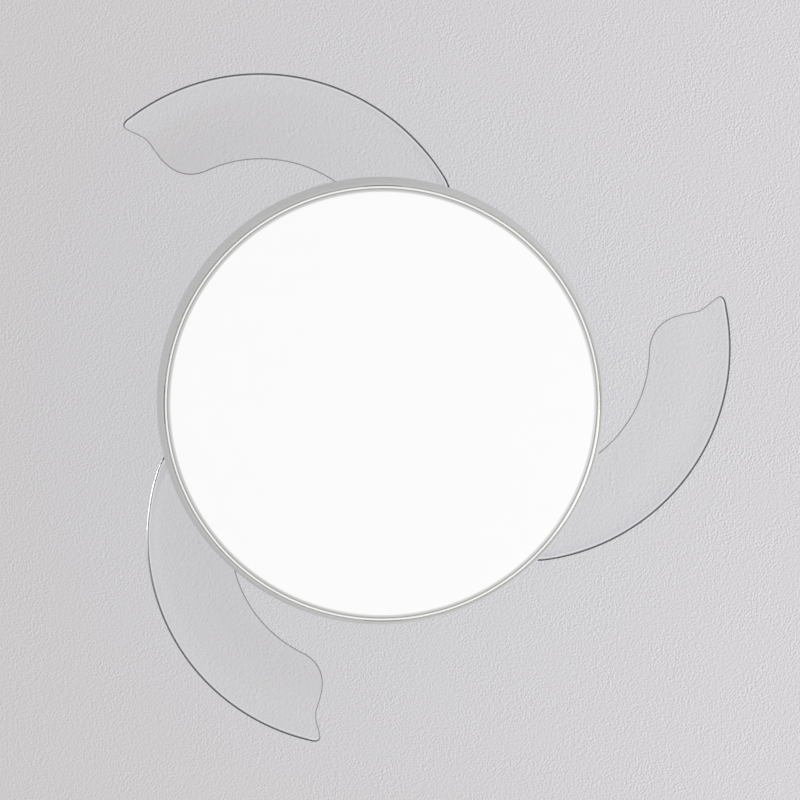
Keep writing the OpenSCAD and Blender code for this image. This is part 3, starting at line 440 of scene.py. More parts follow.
# A finish with colour drift, dust, grain or turning marks in its roughness, and a fine bump.
def plainFinish(name, colour, second, metallic=0.0, rough=(0.35, 0.45), grain=900, bump=0.15, depth=0.00005,
                dust=0.12, turned=None):
    material, tree, shader = newMaterial(name)
    tone = placeGroup(tree, toneGroup, {"Colour": (*colour, 1), "Second": (*second, 1), "Dust": dust})
    tree.links.new(tone.outputs["Colour"], shader.inputs["Base Color"])
    if turned:
        marks = placeGroup(tree, turningGroup, {"Pitch": turned, "Low": rough[0], "High": rough[1]})
    else:
        marks = placeGroup(tree, grainGroup, {"Scale": grain, "Low": rough[0], "High": rough[1]})
    tree.links.new(marks.outputs["Roughness"], shader.inputs["Roughness"])
    addBump(tree, shader, marks.outputs["Height"], bump, depth)
    shader.inputs["Metallic"].default_value = metallic
    return material


# A finish made of thin layers with dark joints, such as laminations or windings.
def layeredFinish(name, colour, joint, pitch, metallic, rough, grainScale=700, bump=0.5, depth=0.0002):
    material, tree, shader = newMaterial(name)
    layers = placeGroup(tree, layerGroup, {"Pitch": pitch, "Colour": (*colour, 1), "Joint": (*joint, 1)})
    grain = placeGroup(tree, grainGroup, {"Scale": grainScale, "Low": rough[0], "High": rough[1]})
    tree.links.new(layers.outputs["Colour"], shader.inputs["Base Color"])
    tree.links.new(grain.outputs["Roughness"], shader.inputs["Roughness"])
    addBump(tree, shader, layers.outputs["Height"], bump, depth)
    shader.inputs["Metallic"].default_value = metallic
    return material


clearValues = {
    "panel": (0.936, 0.934, 0.931),     # what the sheet lets through
    "lip": (0.938, 0.941, 0.95),        # the same in the lip along the outer edge, tinted lighter and bluer as a painted reflection
    "foot": (1.0, 1.0, 1.0),            # painted highlight on the strip beside the dark edge, where the sheet gathers light
    "glow": 0.06,                       # that strip's own glow, part of its painted highlight
    "edge": (0.05, 0.052, 0.062),       # painted shade on the polished edges, in place of the dark surroundings that they show
    "shadow": (0.93, 0.94, 0.95),       # what it lets through to lamps
    "index": 1.49,
    "rough": (0.08, 0.34),              # on the sheet and on its edges
    "waves": 26,                        # per metre, of the sheet's slight waviness
    "bump": (0.12, 0.0006),             # its strength and depth
}


# Clear acrylic. Its dark edges are painted shade, and the strip beside them is a painted highlight with its own glow.
# Both are coloured by attributes, in place of the light that the sheet leads away there. The lip's lighter tint is a
# painted reflection. Lamps shine through it.
def clearFinish(v):
    material, tree, shader = newMaterial("clearAcrylic")
    edge = addNode(tree, "ShaderNodeAttribute", attribute_name="edge").outputs["Fac"]
    lip = addNode(tree, "ShaderNodeAttribute", attribute_name="lip").outputs["Fac"]
    foot = addNode(tree, "ShaderNodeAttribute", attribute_name="foot").outputs["Fac"]
    sheet = mixColours(tree, lip, (*v["panel"], 1), (*v["lip"], 1))
    sheet = mixColours(tree, foot, sheet, (*v["foot"], 1))
    tree.links.new(mixColours(tree, edge, sheet, (*v["edge"], 1)), shader.inputs["Base Color"])
    setInputs(shader, {"Transmission Weight": 1, "IOR": v["index"], "Emission Strength": v["glow"]})
    tree.links.new(mixColours(tree, foot, (0, 0, 0, 1), (1, 1, 1, 1)), shader.inputs["Emission Color"])
    tree.links.new(remap(tree, edge, 0, 1, *v["rough"]), shader.inputs["Roughness"])
    addBump(tree, shader, noiseOf(tree, v["waves"], 2), *v["bump"])
    through = addNode(tree, "ShaderNodeBsdfTransparent", {"Color": (*v["shadow"], 1)})
    shadow = addNode(tree, "ShaderNodeLightPath").outputs["Is Shadow Ray"]
    out = next(n for n in tree.nodes if n.type == "OUTPUT_MATERIAL")
    tree.links.new(mixShaders(tree, shadow, shader.outputs[0], through.outputs[0]), out.inputs["Surface"])
    return material


opalValues = {
    "base": (0.42, 0.42, 0.42),
    "glow": [(0.2560, 0.65), (0.2568, 0.41), (0.2582, 0.32), (0.2602, 0.19)],    # radius and lit level, outwards
    "warmth": (1, 1, 0.995),
    "cloud": 38,                # waves per metre
    "cloudSpan": (0.992, 1.004),
    "grain": 1400,
    "rough": (0.42, 0.5),
    "bump": (0.1, 0.00003),     # strength and depth
    "mirror": 0.3,              # how strongly it mirrors
}


# Opal acrylic lit from behind: an even glow with a faint cloudiness, which falls off in the thick shoulder.
def opalFinish(v):
    material, tree, shader = newMaterial("opalAcrylic")
    distance = axisDistance(tree, addNode(tree, "ShaderNodeTexCoord").outputs["Object"])
    first, last = v["glow"][0][0], v["glow"][-1][0]
    ramp = addNode(tree, "ShaderNodeValToRGB")
    tree.links.new(remap(tree, distance, first, last, 0, 1), ramp.inputs[0])
    stops = ramp.color_ramp.elements
    while len(stops) < len(v["glow"]):
        stops.new(0.5)
    for stop, (radius, level) in zip(stops, v["glow"]):
        stop.position = (radius - first) / (last - first)
        stop.color = (*(level * share for share in v["warmth"]), 1)
    cloud = remap(tree, noiseOf(tree, v["cloud"], 4, 0.6), 0.3, 0.7, *v["cloudSpan"])
    tree.links.new(mixColours(tree, 1.0, ramp.outputs[0], cloud, "MULTIPLY"), shader.inputs["Emission Color"])
    setInputs(shader, {"Emission Strength": 1, "Base Color": (*v["base"], 1), "Specular IOR Level": v["mirror"]})
    grain = placeGroup(tree, grainGroup, {"Scale": v["grain"], "Low": v["rough"][0], "High": v["rough"][1]})
    tree.links.new(grain.outputs["Roughness"], shader.inputs["Roughness"])
    addBump(tree, shader, grain.outputs["Height"], *v["bump"])
    return material


# plain finishes: two tones, metallic, roughness span, grain in waves per metre, bump strength and depth in metres
# layered ones: colour, joint, pitch in metres, metallic, roughness span
finishes = {
    "zinc_steel": plainFinish("zincSteel", (0.62, 0.63, 0.65), (0.56, 0.57, 0.60), 1, (0.3, 0.48), 500, 0.2),
    "turned_steel": plainFinish("turnedSteel", (0.66, 0.66, 0.68), (0.6, 0.6, 0.63), 1, (0.16, 0.34), turned=0.0007),
    "cast_alloy": plainFinish("castAlloy", (0.66, 0.67, 0.68), (0.58, 0.59, 0.61), 0.85, (0.45, 0.62), 700,
                              0.5, 0.0001),
    "body_paint": plainFinish("bodyPaint", (0.74, 0.74, 0.73), (0.72, 0.72, 0.71), 0, (0.36, 0.46), 420,
                              0.12, 0.00006),
    "cover_plastic": plainFinish("coverPlastic", (0.74, 0.74, 0.73), (0.72, 0.72, 0.71), 0, (0.42, 0.52), 1300, 0.25),
    "white_plastic": plainFinish("whitePlastic", (0.86, 0.86, 0.85), (0.83, 0.83, 0.82), 0, (0.4, 0.5), 1100, 0.2),
    "board_white": plainFinish("boardWhite", (0.86, 0.86, 0.86), (0.83, 0.84, 0.84), 0, (0.3, 0.38), 800, 0.1),
    "led_yellow": plainFinish("ledYellow", (0.85, 0.68, 0.2), (0.8, 0.62, 0.17), 0, (0.3, 0.4), 2000, 0.1),
    "lead_black": plainFinish("leadBlack", (0.03, 0.03, 0.03), (0.04, 0.04, 0.04), 0, (0.5, 0.62), 900, 0.2),
    "bumper_rubber": plainFinish("bumperRubber", (0.035, 0.035, 0.035), (0.05, 0.05, 0.05), 0, (0.6, 0.75), 1500,
                                 0.4),
    "core_steel": layeredFinish("coreSteel", (0.36, 0.37, 0.39), (0.08, 0.08, 0.09), 0.0008, 0.9, (0.35, 0.5)),
    "magnet_grey": plainFinish("magnetGrey", (0.12, 0.12, 0.125), (0.16, 0.16, 0.17), 0.4, (0.5, 0.65), 600, 0.4),
    "copper_wire": layeredFinish("copperWire", (0.62, 0.27, 0.11), (0.16, 0.05, 0.02), 0.0006, 0.9, (0.25, 0.4)),
    "bronze": plainFinish("bronze", (0.55, 0.36, 0.15), (0.47, 0.31, 0.13), 0.9, (0.4, 0.55), 1500, 0.3),
    "spring_steel": plainFinish("springSteel", (0.42, 0.43, 0.46), (0.36, 0.37, 0.4), 1, (0.22, 0.34), 900, 0.1),
    "ring_satin": plainFinish("ringSatin", (0.95, 0.94, 0.91), (0.92, 0.91, 0.88), 1, (0.16, 0.24), turned=0.0004,
                              bump=0.03),
    "clear_acrylic": clearFinish(clearValues),
    "opal_acrylic": opalFinish(opalValues),
}
slotOf = {part["node"]: part["material_slot"] for part in frame["record"]["subparts"]}
for name, node in frame["nodes"].items():
    node.data.materials.clear()
    node.data.materials.append(finishes[slotOf[name]])
print("finishes given to", len(slotOf), "nodes")


# Lamp.

panValues = {
    "thick": 2.0 * mm,
    "boreR": 9.3 * mm,
    "flare": 12.7 * mm,
    "bulge": 1.5 * mm,
    "corner": 4.0 * mm,
    "hem": 0.5 * mm,        # rounding of the rim
    "roll": 0.6 * mm,       # how far the rim's inner face is rolled inwards
    "rollHeight": 3.0 * mm,
    "rollReach": 0.9 * mm,  # how near to that face a point has to be
    "cornerSteps": 9,
    "wallSteps": 25,
    "segments": 320,
}


# Straight flare from rim to deck plus a parabola that bulges in the middle.
def panWallRadius(z, v, deckR, zTop, zRim):
    s = (z - zRim) / (zTop - zRim)
    return deckR - v["flare"] + v["flare"] * s + 4 * v["bulge"] * s * (1 - s)


# A flat deck, a quarter-round corner and the flared wall, with a wall thickness inside, carried round Z.
def makePan(v):
    low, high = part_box("lamp_pan")
    deckR, zDeck, zRim = high.x, high.z, low.z
    zTop = zDeck - v["corner"]
    a = np.radians(np.linspace(90, 0, v["cornerSteps"]))
    corner = np.stack([deckR - v["corner"] + v["corner"] * np.cos(a), zTop + v["corner"] * np.sin(a)], 1)
    z = np.linspace(zTop, zRim, v["wallSteps"])[1:]
    wall = np.stack([panWallRadius(z, v, deckR, zTop, zRim), z], 1)
    path = np.vstack([[[v["boreR"], zDeck]], corner, wall])
    outline = softCorners(sheetWall(path, -v["thick"]), v["hem"])
    # the rim is rolled inwards, so that it closes up to the trim ring
    roll = v["roll"] * smoothStep(-outline[:, 1], -(zRim + v["rollHeight"]), -zRim)
    inside = np.abs(outline[:, 0] - (wall[-1, 0] - v["thick"])) < v["rollReach"]
    outline[:, 0] -= roll * inside
    piece = makePiece("lampPan", lathe(outline, v["segments"]))
    finishPiece(piece, finishes["body_paint"], "hanger_and_lamp", "body_paint", "lamp_pan")


makePan(panValues)

ringValues = {
    "innerR": 260.9 * mm,
    "outerR": 264.0 * mm,
    "wall": 1.5 * mm,
    "crown": 0.6 * mm,      # how far the face is rounded back at its sides
    "height": 9.0 * mm,
    "groove": (1.8 * mm, 4.0 * mm),     # above the face
    "shelf": 1.4 * mm,
    "shelfReach": 0.3 * mm,     # how far the shelf stands in past the face
    "soft": 0.25 * mm,
    "lugFirst": -4.0,       # degrees
    "lugSpan": 11.4,
    "lugReach": 7.0 * mm,
    "lugGap": 0.2 * mm,
    "lugZ": 14.3 * mm,      # above the face
    "lugThick": 2.0 * mm,
    "lugCount": 4,
    "lugSoft": 0.3 * mm,
    "lugSegments": 12,
    "legFirst": 5.1,        # degrees
    "legSpan": 2.2,
    "legSides": (3.0 * mm, 0.3 * mm),   # in from the ring's outside
    "legFoot": 2.0 * mm,    # how far it starts below the wall's top
    "legSegments": 6,
    "faceSteps": 17,
    "segments": 320,
}


# A half ellipse for the face, x = m + h cos a and z = c (1 - sin a), and behind it a wall with a groove and a shelf,
# carried round Z. Each bayonet lug is a short arc of a rectangle and hangs on a leg, a shorter arc.
def makeRing(v):
    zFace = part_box("trim_ring")[0].z
    inner, outer = v["innerR"], v["outerR"]
    middle, half = (inner + outer) / 2, (outer - inner) / 2
    a = np.radians(np.linspace(180, 0, v["faceSteps"]))
    face = np.stack([middle + half * np.cos(a), zFace + v["crown"] * (1 - np.sin(a))], 1)
    wallIn, top = outer - v["wall"], zFace + v["height"]
    low, up = zFace + v["groove"][0], zFace + v["groove"][1]
    shelfR = inner - v["shelfReach"]
    body = np.array([[outer, top], [wallIn, top], [wallIn, up + v["shelf"]], [shelfR, up + v["shelf"]],
                     [shelfR, up], [wallIn, up], [wallIn, low], [inner, low]])
    parts = [lathe(softCorners(np.vstack([face, body]), v["soft"], steps=4, least=30), v["segments"])]
    z = zFace + v["lugZ"]
    lug = rectangle(outer - v["lugReach"], z, outer - v["lugGap"], z + v["lugThick"])
    legIn, legOut = v["legSides"]
    leg = rectangle(outer - legIn, top - v["legFoot"], outer - legOut, z + v["lugThick"] / 2)
    for i in range(v["lugCount"]):
        start = i * 360 / v["lugCount"]
        parts.append(lathe(softCorners(lug, v["lugSoft"]), v["lugSegments"], v["lugSpan"], start + v["lugFirst"]))
        parts.append(lathe(softCorners(leg, v["lugSoft"]), v["legSegments"], v["legSpan"], start + v["legFirst"]))
    piece = makePiece("trimRing", joined(*parts), closeEnds=True)
    finishPiece(piece, finishes["ring_satin"], "shade", "ring_satin", "trim_ring")


makeRing(ringValues)

diffuserValues = {
    "shoulderR": 260.0 * mm,
    "shoulder": 3.5 * mm,
    "crown": 3.0 * mm,
    "thick": 2.0 * mm,
    "domeSteps": 33,
    "shoulderSteps": 13,
    "segments": 320,
}


# A shallow dome, z = lowest + crown (r / R)^2, then a quarter round up to a thin rim that lies in the ring.
def makeDiffuser(v):
    low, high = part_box("diffuser")
    flatR = v["shoulderR"] - v["shoulder"]
    r = np.linspace(0, flatR, v["domeSteps"])
    dome = np.stack([r, low.z + v["crown"] * (r / flatR) ** 2], 1)
    a = np.radians(np.linspace(0, 90, v["shoulderSteps"]))[1:]
    shoulder = np.stack([flatR + v["shoulder"] * np.sin(a), low.z + v["crown"] + v["shoulder"] * (1 - np.cos(a))], 1)
    path = np.vstack([dome, shoulder])
    inside = stepAside(path, v["thick"])[::-1]
    inside[:, 0] = np.maximum(inside[:, 0], 0)
    rimLow = high.z - v["thick"]
    rim = np.array([[v["shoulderR"], rimLow], [high.x, rimLow], [high.x, high.z],
                    [v["shoulderR"] - v["thick"], high.z]])
    outline = np.vstack([path, rim, inside])
    piece = makePiece("opalDiffuser", lathe(outline, v["segments"]))
    finishPiece(piece, finishes["opal_acrylic"], "shade", "opal_acrylic", "diffuser")


makeDiffuser(diffuserValues)
print("lamp made")


# Canopy and cover.

canopyValues = {
    "neckR": 62.0 * mm,
    "holeR": 26.0 * mm,
    "rim": 16.0 * mm,       # straight part at the ceiling
    "thick": 1.5 * mm,
    "soft": 0.5 * mm,
    "domeSteps": 33,
    "segments": 192,
}


# A straight rim, then a quarter ellipse in to the flat bottom.
def makeCanopy(v):
    low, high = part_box("canopy")
    a = np.radians(np.linspace(0, 90, v["domeSteps"]))
    dome = np.stack([v["neckR"] + (high.x - v["neckR"]) * np.cos(a), -v["rim"] + (low.z + v["rim"]) * np.sin(a)], 1)
    path = np.vstack([[[high.x, high.z]], dome, [[v["holeR"], low.z]]])
    piece = makePiece("canopyShell", lathe(softCorners(sheetWall(path, -v["thick"]), v["soft"]), v["segments"]))
    finishPiece(piece, finishes["body_paint"], "hanger_and_lamp", "body_paint", "canopy")


makeCanopy(canopyValues)

coverValues = {
    "holeR": 24.0 * mm,
    "flatR": 84.0 * mm,
    "thick": 2.0 * mm,
    "bossR": 6.0 * mm,
    "bossHole": 1.8 * mm,
    "bossAt": 138.5 * mm,
    "bossLow": -109.0 * mm,
    "bossFlare": 0.8 * mm,      # how much wider it is where it meets the cover
    "bossSoft": 0.4 * mm,
    "bossSegments": 32,
    "bend": (0.82, 1.0 * mm),   # where the slope starts to fall: share of the pivots' radius, and down from the top
    "shoulder": [(30 * mm, 14 * mm), (8 * mm, 28 * mm), (3.5 * mm, 31 * mm), (0, 33 * mm), (0, 38 * mm)],
    "soft": 0.5 * mm,
    "slopeSteps": 40,
    "edgeSteps": 12,
    "segments": 320,
}


# A blade's pivot: its x and y, its distance from the rotor axis, and its direction from there in degrees.
def pivotOf(k):
    px, py = joints[f"blade_{k}_swing"]["pos_m"][:2]
    return px, py, math.hypot(px, py), math.degrees(math.atan2(py, px))


# Flat top, a long soft slope out to the shoulder, a tight turn and a straight skirt, as two cubic Beziers. The
# shoulder's points are given in from the outside and down from the top.
def makeCover(v):
    low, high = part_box("blade_cover")
    outer, top = high.x, high.z
    pivotR, first = pivotOf(1)[2:]
    share, fall = v["bend"]
    shoulder = [[outer - inwards, top - down] for inwards, down in v["shoulder"]]
    slope = bezier([[v["flatR"], top], [pivotR * share, top - fall], *shoulder[:2]], v["slopeSteps"])
    edge = bezier(shoulder[1:], v["edgeSteps"])
    path = np.vstack([[[v["holeR"], top]], slope, edge[1:], [[outer, low.z]]])
    parts = [lathe(softCorners(sheetWall(path, -v["thick"]), v["soft"]), v["segments"])]
    above = path[:v["slopeSteps"] + 1]
    under = np.interp(v["bossAt"], above[:, 0], above[:, 1]) - v["thick"] / 2
    boss = np.array([[v["bossHole"], v["bossLow"]], [v["bossR"], v["bossLow"]],
                     [v["bossR"] + v["bossFlare"], under], [v["bossHole"], under]])
    for k in range(3):
        points, faces = lathe(softCorners(boss, v["bossSoft"]), v["bossSegments"])
        parts.append((placed(placed(points, v["bossAt"]), turn=first + 120 * k), faces))
    piece = makePiece("bladeCover", joined(*parts))
    finishPiece(piece, finishes["cover_plastic"], "rotor", "cover_plastic", "blade_cover")


makeCover(coverValues)
print("canopy and cover made")


# Blades.

bladeValues = {
    "outerR": 270.2 * mm,
    "width": 107.2 * mm,
    "sweep": 112.3,             # degrees from the pivot to the tip
    "half": 1.2 * mm,           # half the sheet's thickness
    "bead": 1.8 * mm,           # radius of the bead along the outer edge
    "zInner": -135.5 * mm,
    "rise": 14.3 * mm,
    "drop": 6.3 * mm,
    "lipRoot": 14.0 * mm,       # width of the lip at the root and at the tip
    "lipTip": 34.0 * mm,
    "padR": 35.0 * mm,
    "padZ": -134.5 * mm,
    "padHalf": 1.5 * mm,
    "padBlend": (34.0 * mm, 42.0 * mm),
    "spineEnd": 9.0,            # degrees back from the tip
    "bands": [0, 0.05, 0.15, 0.35, 0.6, 0.9, 1.2, 1.5, 1.8, 2.2, 2.7, 3.3, 4.2],  # mm in from the outline
    "rows": 20,
    "alongBody": 300,
    "roundPad": 64,
    "roundTip": 150,
    "beadRoot": (-26, -16),     # degrees between which the bead runs out at the root
    "beadTip": (-9 * mm, 1 * mm),       # the same at the tip, as lengths past its corner
    "beadTaper": 2.4,           # depth at which the bead has run into the sheet, in its radii
    "darkRoot": (-12, 0),       # where the painted shade of the dark line along the outer edge runs out at the root, in degrees
    "darkTip": (2 * mm, 16 * mm),       # the same at the tip, past its corner
    "darkFade": (1.25 * mm, 2.1 * mm),  # depth of that line
    "thinFade": (0.6 * mm, 1.7 * mm),   # the same along the other edges
    "thinDark": 0.72,                   # how dark that painted shade is along them, of the dark line
    "footStart": (-0.3 * mm, 0.2 * mm), # where the painted highlight strip beside it begins, from the end of the dark line
    "footSpan": (0.9 * mm, 2.2 * mm),   # and where it fades
    "lipShare": (0.1, 1.05),    # shares of the sweep between which the lip widens
    "lipSoft": 3.0 * mm,
    "risePower": 1.15,
    "dropPower": 1.8,
    "tipSteps": 40,
    "rootSteps": 24,
    "smoothing": 6,             # stations on each side
}
# the tip, as degrees back from the tip and millimetres in from the outer edge
tipCurves = [
    [(1.9, 0), (0.5, 0), (-0.45, 2.6), (-0.2, 7.5)],
    [(-0.2, 7.5), (0.25, 15), (1.5, 22), (2.25, 31.5)],
    [(2.25, 31.5), (2.95, 40), (1.75, 57), (2.65, 72.7)],
    [(2.65, 72.7), (3.6, 92), (7.5, 106.2), (15, 107.2)],
]
# the root, as degrees from the pivot and radius in millimetres
rootOuter = [(-14, 270.2), (-8, 269.2), (-5, 258), (0, 244)]
rootInner = [(-16, 163), (-10, 163.2), (-6, 170), (0, 174)]


def polarPoints(degrees, radius):
    a = np.radians(degrees)
    return np.stack([radius * np.cos(a), radius * np.sin(a)], -1)


# The path at count even steps of its length.
def evenly(path, count):
    length = np.concatenate([[0], np.cumsum(np.linalg.norm(np.diff(path, axis=0), axis=1))])
    at = np.linspace(0, length[-1], count)
    return np.stack([np.interp(at, length, path[:, i]) for i in (0, 1)], 1), at


# The folded blade's outline about the rotor axis as a closed loop of stations: outer edge from tip to root, round
# the pad, inner edge back, and round the tip. Each station has a point on the spine, the arc through the pivot, and
# shares of 0 to 1 that say how much bead and how much painted shade its edge has.
def bladeStations(v, pivotR):
    outerR, tipSteps = v["outerR"], v["tipSteps"]
    tip = np.vstack([bezier(curve, tipSteps)[:-1] for curve in tipCurves] + [[tipCurves[-1][-1]]])
    tipAngle, tipR = tip[:, 0] - v["sweep"], outerR - tip[:, 1] * mm
    outerRoot, innerRoot = bezier(rootOuter, v["rootSteps"]), bezier(rootInner, v["rootSteps"])
    first = v["spineEnd"] - v["sweep"]
    body = np.linspace(first, 0, v["alongBody"])
    outer = np.interp(body, outerRoot[:, 0], outerRoot[:, 1] * mm, left=outerR)
    lastCurve = tip[:, 0] >= tipCurves[-1][0][0]
    inner = np.interp(body, np.concatenate([tipAngle[lastCurve], innerRoot[:, 0]]),
                      np.concatenate([tipR[lastCurve], innerRoot[:, 1] * mm]))
    pad = np.radians(np.linspace(0, 180, v["roundPad"] + 2)[1:-1])
    pad = np.stack([pivotR + v["padR"] * np.cos(pad), v["padR"] * np.sin(pad)], 1)
    ahead = tipAngle < first
    corner = outerR * math.radians(first - tipAngle[0])     # from the first outer station to the tip's corner
    arc = polarPoints(np.linspace(first, tipAngle[0], tipSteps)[:-1], outerR)
    tipPath = np.vstack([arc, polarPoints(tipAngle[ahead], tipR[ahead]), polarPoints(first, inner[0])[None]])
    tipPoints, at = evenly(tipPath, v["roundTip"] + 2)
    tipPoints, past = tipPoints[-2:0:-1], at[-2:0:-1] - corner
    loop = np.vstack([polarPoints(body, outer), pad, polarPoints(body, inner)[::-1], tipPoints])
    spine = polarPoints(body, pivotR)
    feet = np.vstack([spine, np.repeat(spine[-1:], len(pad), 0), spine[::-1], np.repeat(spine[:1], len(at) - 2, 0)])
    none = np.zeros(len(pad) + len(body))
    bead = np.concatenate([1 - smoothStep(body, *v["beadRoot"]), none, 1 - smoothStep(past, *v["beadTip"])])
    dark = np.concatenate([1 - smoothStep(body, *v["darkRoot"]), none, 1 - smoothStep(past, *v["darkTip"])])
    return loop, feet, bead, dark


# The mean over reach neighbours on both sides, round a closed loop.
def rollingMean(values, reach):
    return sum(np.roll(values, k, axis=0) for k in range(-reach, reach + 1)) / (2 * reach + 1)


# Height of the middle of the sheet: from the inner edge it rises as the sine of pi/2 u^p to the crest, and then falls
# as w^q to the outer edge. The crest moves in towards the tip, and the root is dished down to the pad.
def bladeMiddle(x, y, v, pivotR):
    r = np.hypot(x, y)
    inner = v["outerR"] - v["width"]
    share = np.clip(-np.degrees(np.arctan2(y, x)) / v["sweep"], 0, 1)
    crest = v["outerR"] - v["lipRoot"] - (v["lipTip"] - v["lipRoot"]) * smoothStep(share, *v["lipShare"])
    level = np.minimum(r, v["outerR"] - v["bead"])      # the bead stays upright
    up = np.clip((level - inner) / (crest - inner), 0, 1)
    down = np.clip((level - crest) / (v["outerR"] - crest), 0, 1)
    sheet = (v["zInner"] + v["rise"] * np.sin(np.pi / 2 * up ** v["risePower"])
             - v["drop"] * down ** v["dropPower"])
    root = 1 - smoothStep(np.hypot(x - pivotR, y), *v["padBlend"])
    # painted reflection: the lip's mask, where the tint is lighter as if the lip mirrored brighter surroundings
    lip = smoothStep(r - crest, -v["lipSoft"], v["lipSoft"])
    return sheet * (1 - root) + v["padZ"] * root, root, lip


# Distance of each point to the nearest station of a loop filled in with fill points between stations, and that
# station's number, worked in blocks to save memory.
def nearestStation(points, loop, fill=4, block=3000):
    ahead = np.roll(loop, -1, 0)
    t = np.arange(fill)[None, :, None] / fill
    dense = (loop[:, None] * (1 - t) + ahead[:, None] * t).reshape(-1, 2)
    distance, station = np.empty(len(points)), np.empty(len(points), int)
    for i in range(0, len(points), block):
        gaps = np.sum((points[i:i + block, None] - dense[None]) ** 2, 2)
        nearest = gaps.argmin(1)
        distance[i:i + block] = np.sqrt(gaps[np.arange(len(nearest)), nearest])
        station[i:i + block] = np.round(nearest / fill).astype(int) % len(loop)
    return distance, station


# The folded blade about the rotor axis: rings that follow the outline, then rows in to the spine. The sheet has a
# round edge sqrt(h^2 - (h - d)^2) at depth d, and along the outer edge a bead that tapers into the sheet.
def bladeShape(v, pivotR):
    loop, feet, bead, dark = bladeStations(v, pivotR)
    along = unit(np.roll(loop, -1, 0) - np.roll(loop, 1, 0))
    inward = np.stack([-along[:, 1], along[:, 0]], 1)       # the loop goes round with its inside on the left
    inward = unit(rollingMean(inward, v["smoothing"]))
    bands = np.array(v["bands"])[:, None, None] * mm
    rings = loop[None] + inward[None] * bands
    w = np.linspace(0, 1, v["rows"] + 1)[1:, None, None]
    rows = rings[-1][None] * (1 - w) + feet[None] * w
    flat = np.vstack([rings.reshape(-1, 2), rows.reshape(-1, 2)])
    distance, station = nearestStation(flat, loop)
    distance[:len(loop)] = 0
    middle, root, lip = bladeMiddle(flat[:, 0], flat[:, 1], v, pivotR)
    sheetHalf = v["half"] * (1 - root) + v["padHalf"] * root
    thin = np.sqrt(np.maximum(sheetHalf ** 2 - np.maximum(sheetHalf - distance, 0) ** 2, 0))
    thick = np.sqrt(np.maximum(v["bead"] ** 2 - (v["bead"] - np.minimum(distance, v["bead"])) ** 2, 0))
    thick = thick - (v["bead"] - sheetHalf) * smoothStep(distance, v["bead"], v["beadTaper"] * v["bead"])
    half = thin * (1 - bead[station]) + thick * bead[station]
    # painted shade: the dark line along the outer edge and the fainter ones along the other edges
    edge = (dark[station] * (1 - smoothStep(distance, *v["darkFade"]))
            + (1 - dark[station]) * v["thinDark"] * (1 - smoothStep(distance, *v["thinFade"])))
    # painted highlight: a bright, glowing strip just inside the dark line
    beside = distance - v["darkFade"][1]
    foot = dark[station] * smoothStep(beside, *v["footStart"]) * (1 - smoothStep(beside, *v["footSpan"]))
    points = np.vstack([np.column_stack([flat, middle + half]), np.column_stack([flat, middle - half])])
    faces = gridFaces(len(v["bands"]) + v["rows"], len(loop), False, True)
    faces = np.vstack([faces, faces[:, ::-1] + len(flat)])
    return points, faces, {"edge": np.tile(edge, 2), "lip": np.tile(lip, 2), "foot": np.tile(foot, 2)}


# Opens the folded blade about its pivot and turns it to its own place on the carrier.
def makeBlade(k, shape):
    pivotR, arm = pivotOf(k)[2:]
    points, faces, attributes = shape
    points = placed(points - np.array([pivotR, 0, 0]), turn=-joints[f"blade_{k}_swing"]["range_deg"][0])
    points = placed(placed(points, pivotR), turn=arm)
    piece = makePiece(f"clearBlade{k}", (points, faces), attributes, sharp=60)
    finishPiece(piece, finishes["clear_acrylic"], f"blade_arm_{k}", "clear_acrylic", f"blade_{k}")


bladeSurface = bladeShape(bladeValues, pivotOf(1)[2])
for blade in (1, 2, 3):
    makeBlade(blade, bladeSurface)
print("blades made")


# Return springs.

springValues = {
    "coilR": 15.0 * mm,
    "wire": 0.8 * mm,
    "turns": 4.5,
    "top": 40.0,            # degrees, where the upper leg leaves, from the carrier's arm
    "leg": 8.0 * mm,
    "legSteps": 8,
    "perTurn": 40,
    "sides": 12,
}


# A helix r = coilR from the hub's peg up to the carrier's peg, with a straight leg at each end.
def makeSpring(k, v):
    low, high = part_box(f"return_spring_{k}")
    px, py, _, arm = pivotOf(k)
    bottom, top = low.z + v["wire"], high.z - v["wire"]
    count = round(v["turns"] * v["perTurn"])
    last = v["top"] + arm
    a = np.radians(np.linspace(last - 360 * v["turns"], last, count + 1))
    coil = np.stack([v["coilR"] * np.cos(a), v["coilR"] * np.sin(a), np.linspace(bottom, top, count + 1)], 1)
    tangents = np.stack([-np.sin(a), np.cos(a), 0 * a], 1)
    run = np.linspace(1, 0, v["legSteps"] + 1)[:-1, None] * v["leg"]
    path = np.vstack([coil[0] - tangents[0] * run, coil, coil[-1] + tangents[-1] * run[::-1]])
    outwards = np.stack([np.cos(a), np.sin(a), 0 * a], 1)
    normals = np.vstack([np.repeat(outwards[:1], len(run), 0), outwards, np.repeat(outwards[-1:], len(run), 0)])
    points, faces = tubeAlong(path, normals, v["wire"], v["sides"])
    piece = makePiece(f"returnSpring{k}", (points + np.array([px, py, 0]), faces), closeEnds=True)
    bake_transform(piece)
    finishPiece(piece, finishes["spring_steel"], None, "spring_steel", f"return_spring_{k}")


for blade in (1, 2, 3):
    makeSpring(blade, springValues)
print("springs made")


# Ceiling, lamps and world.

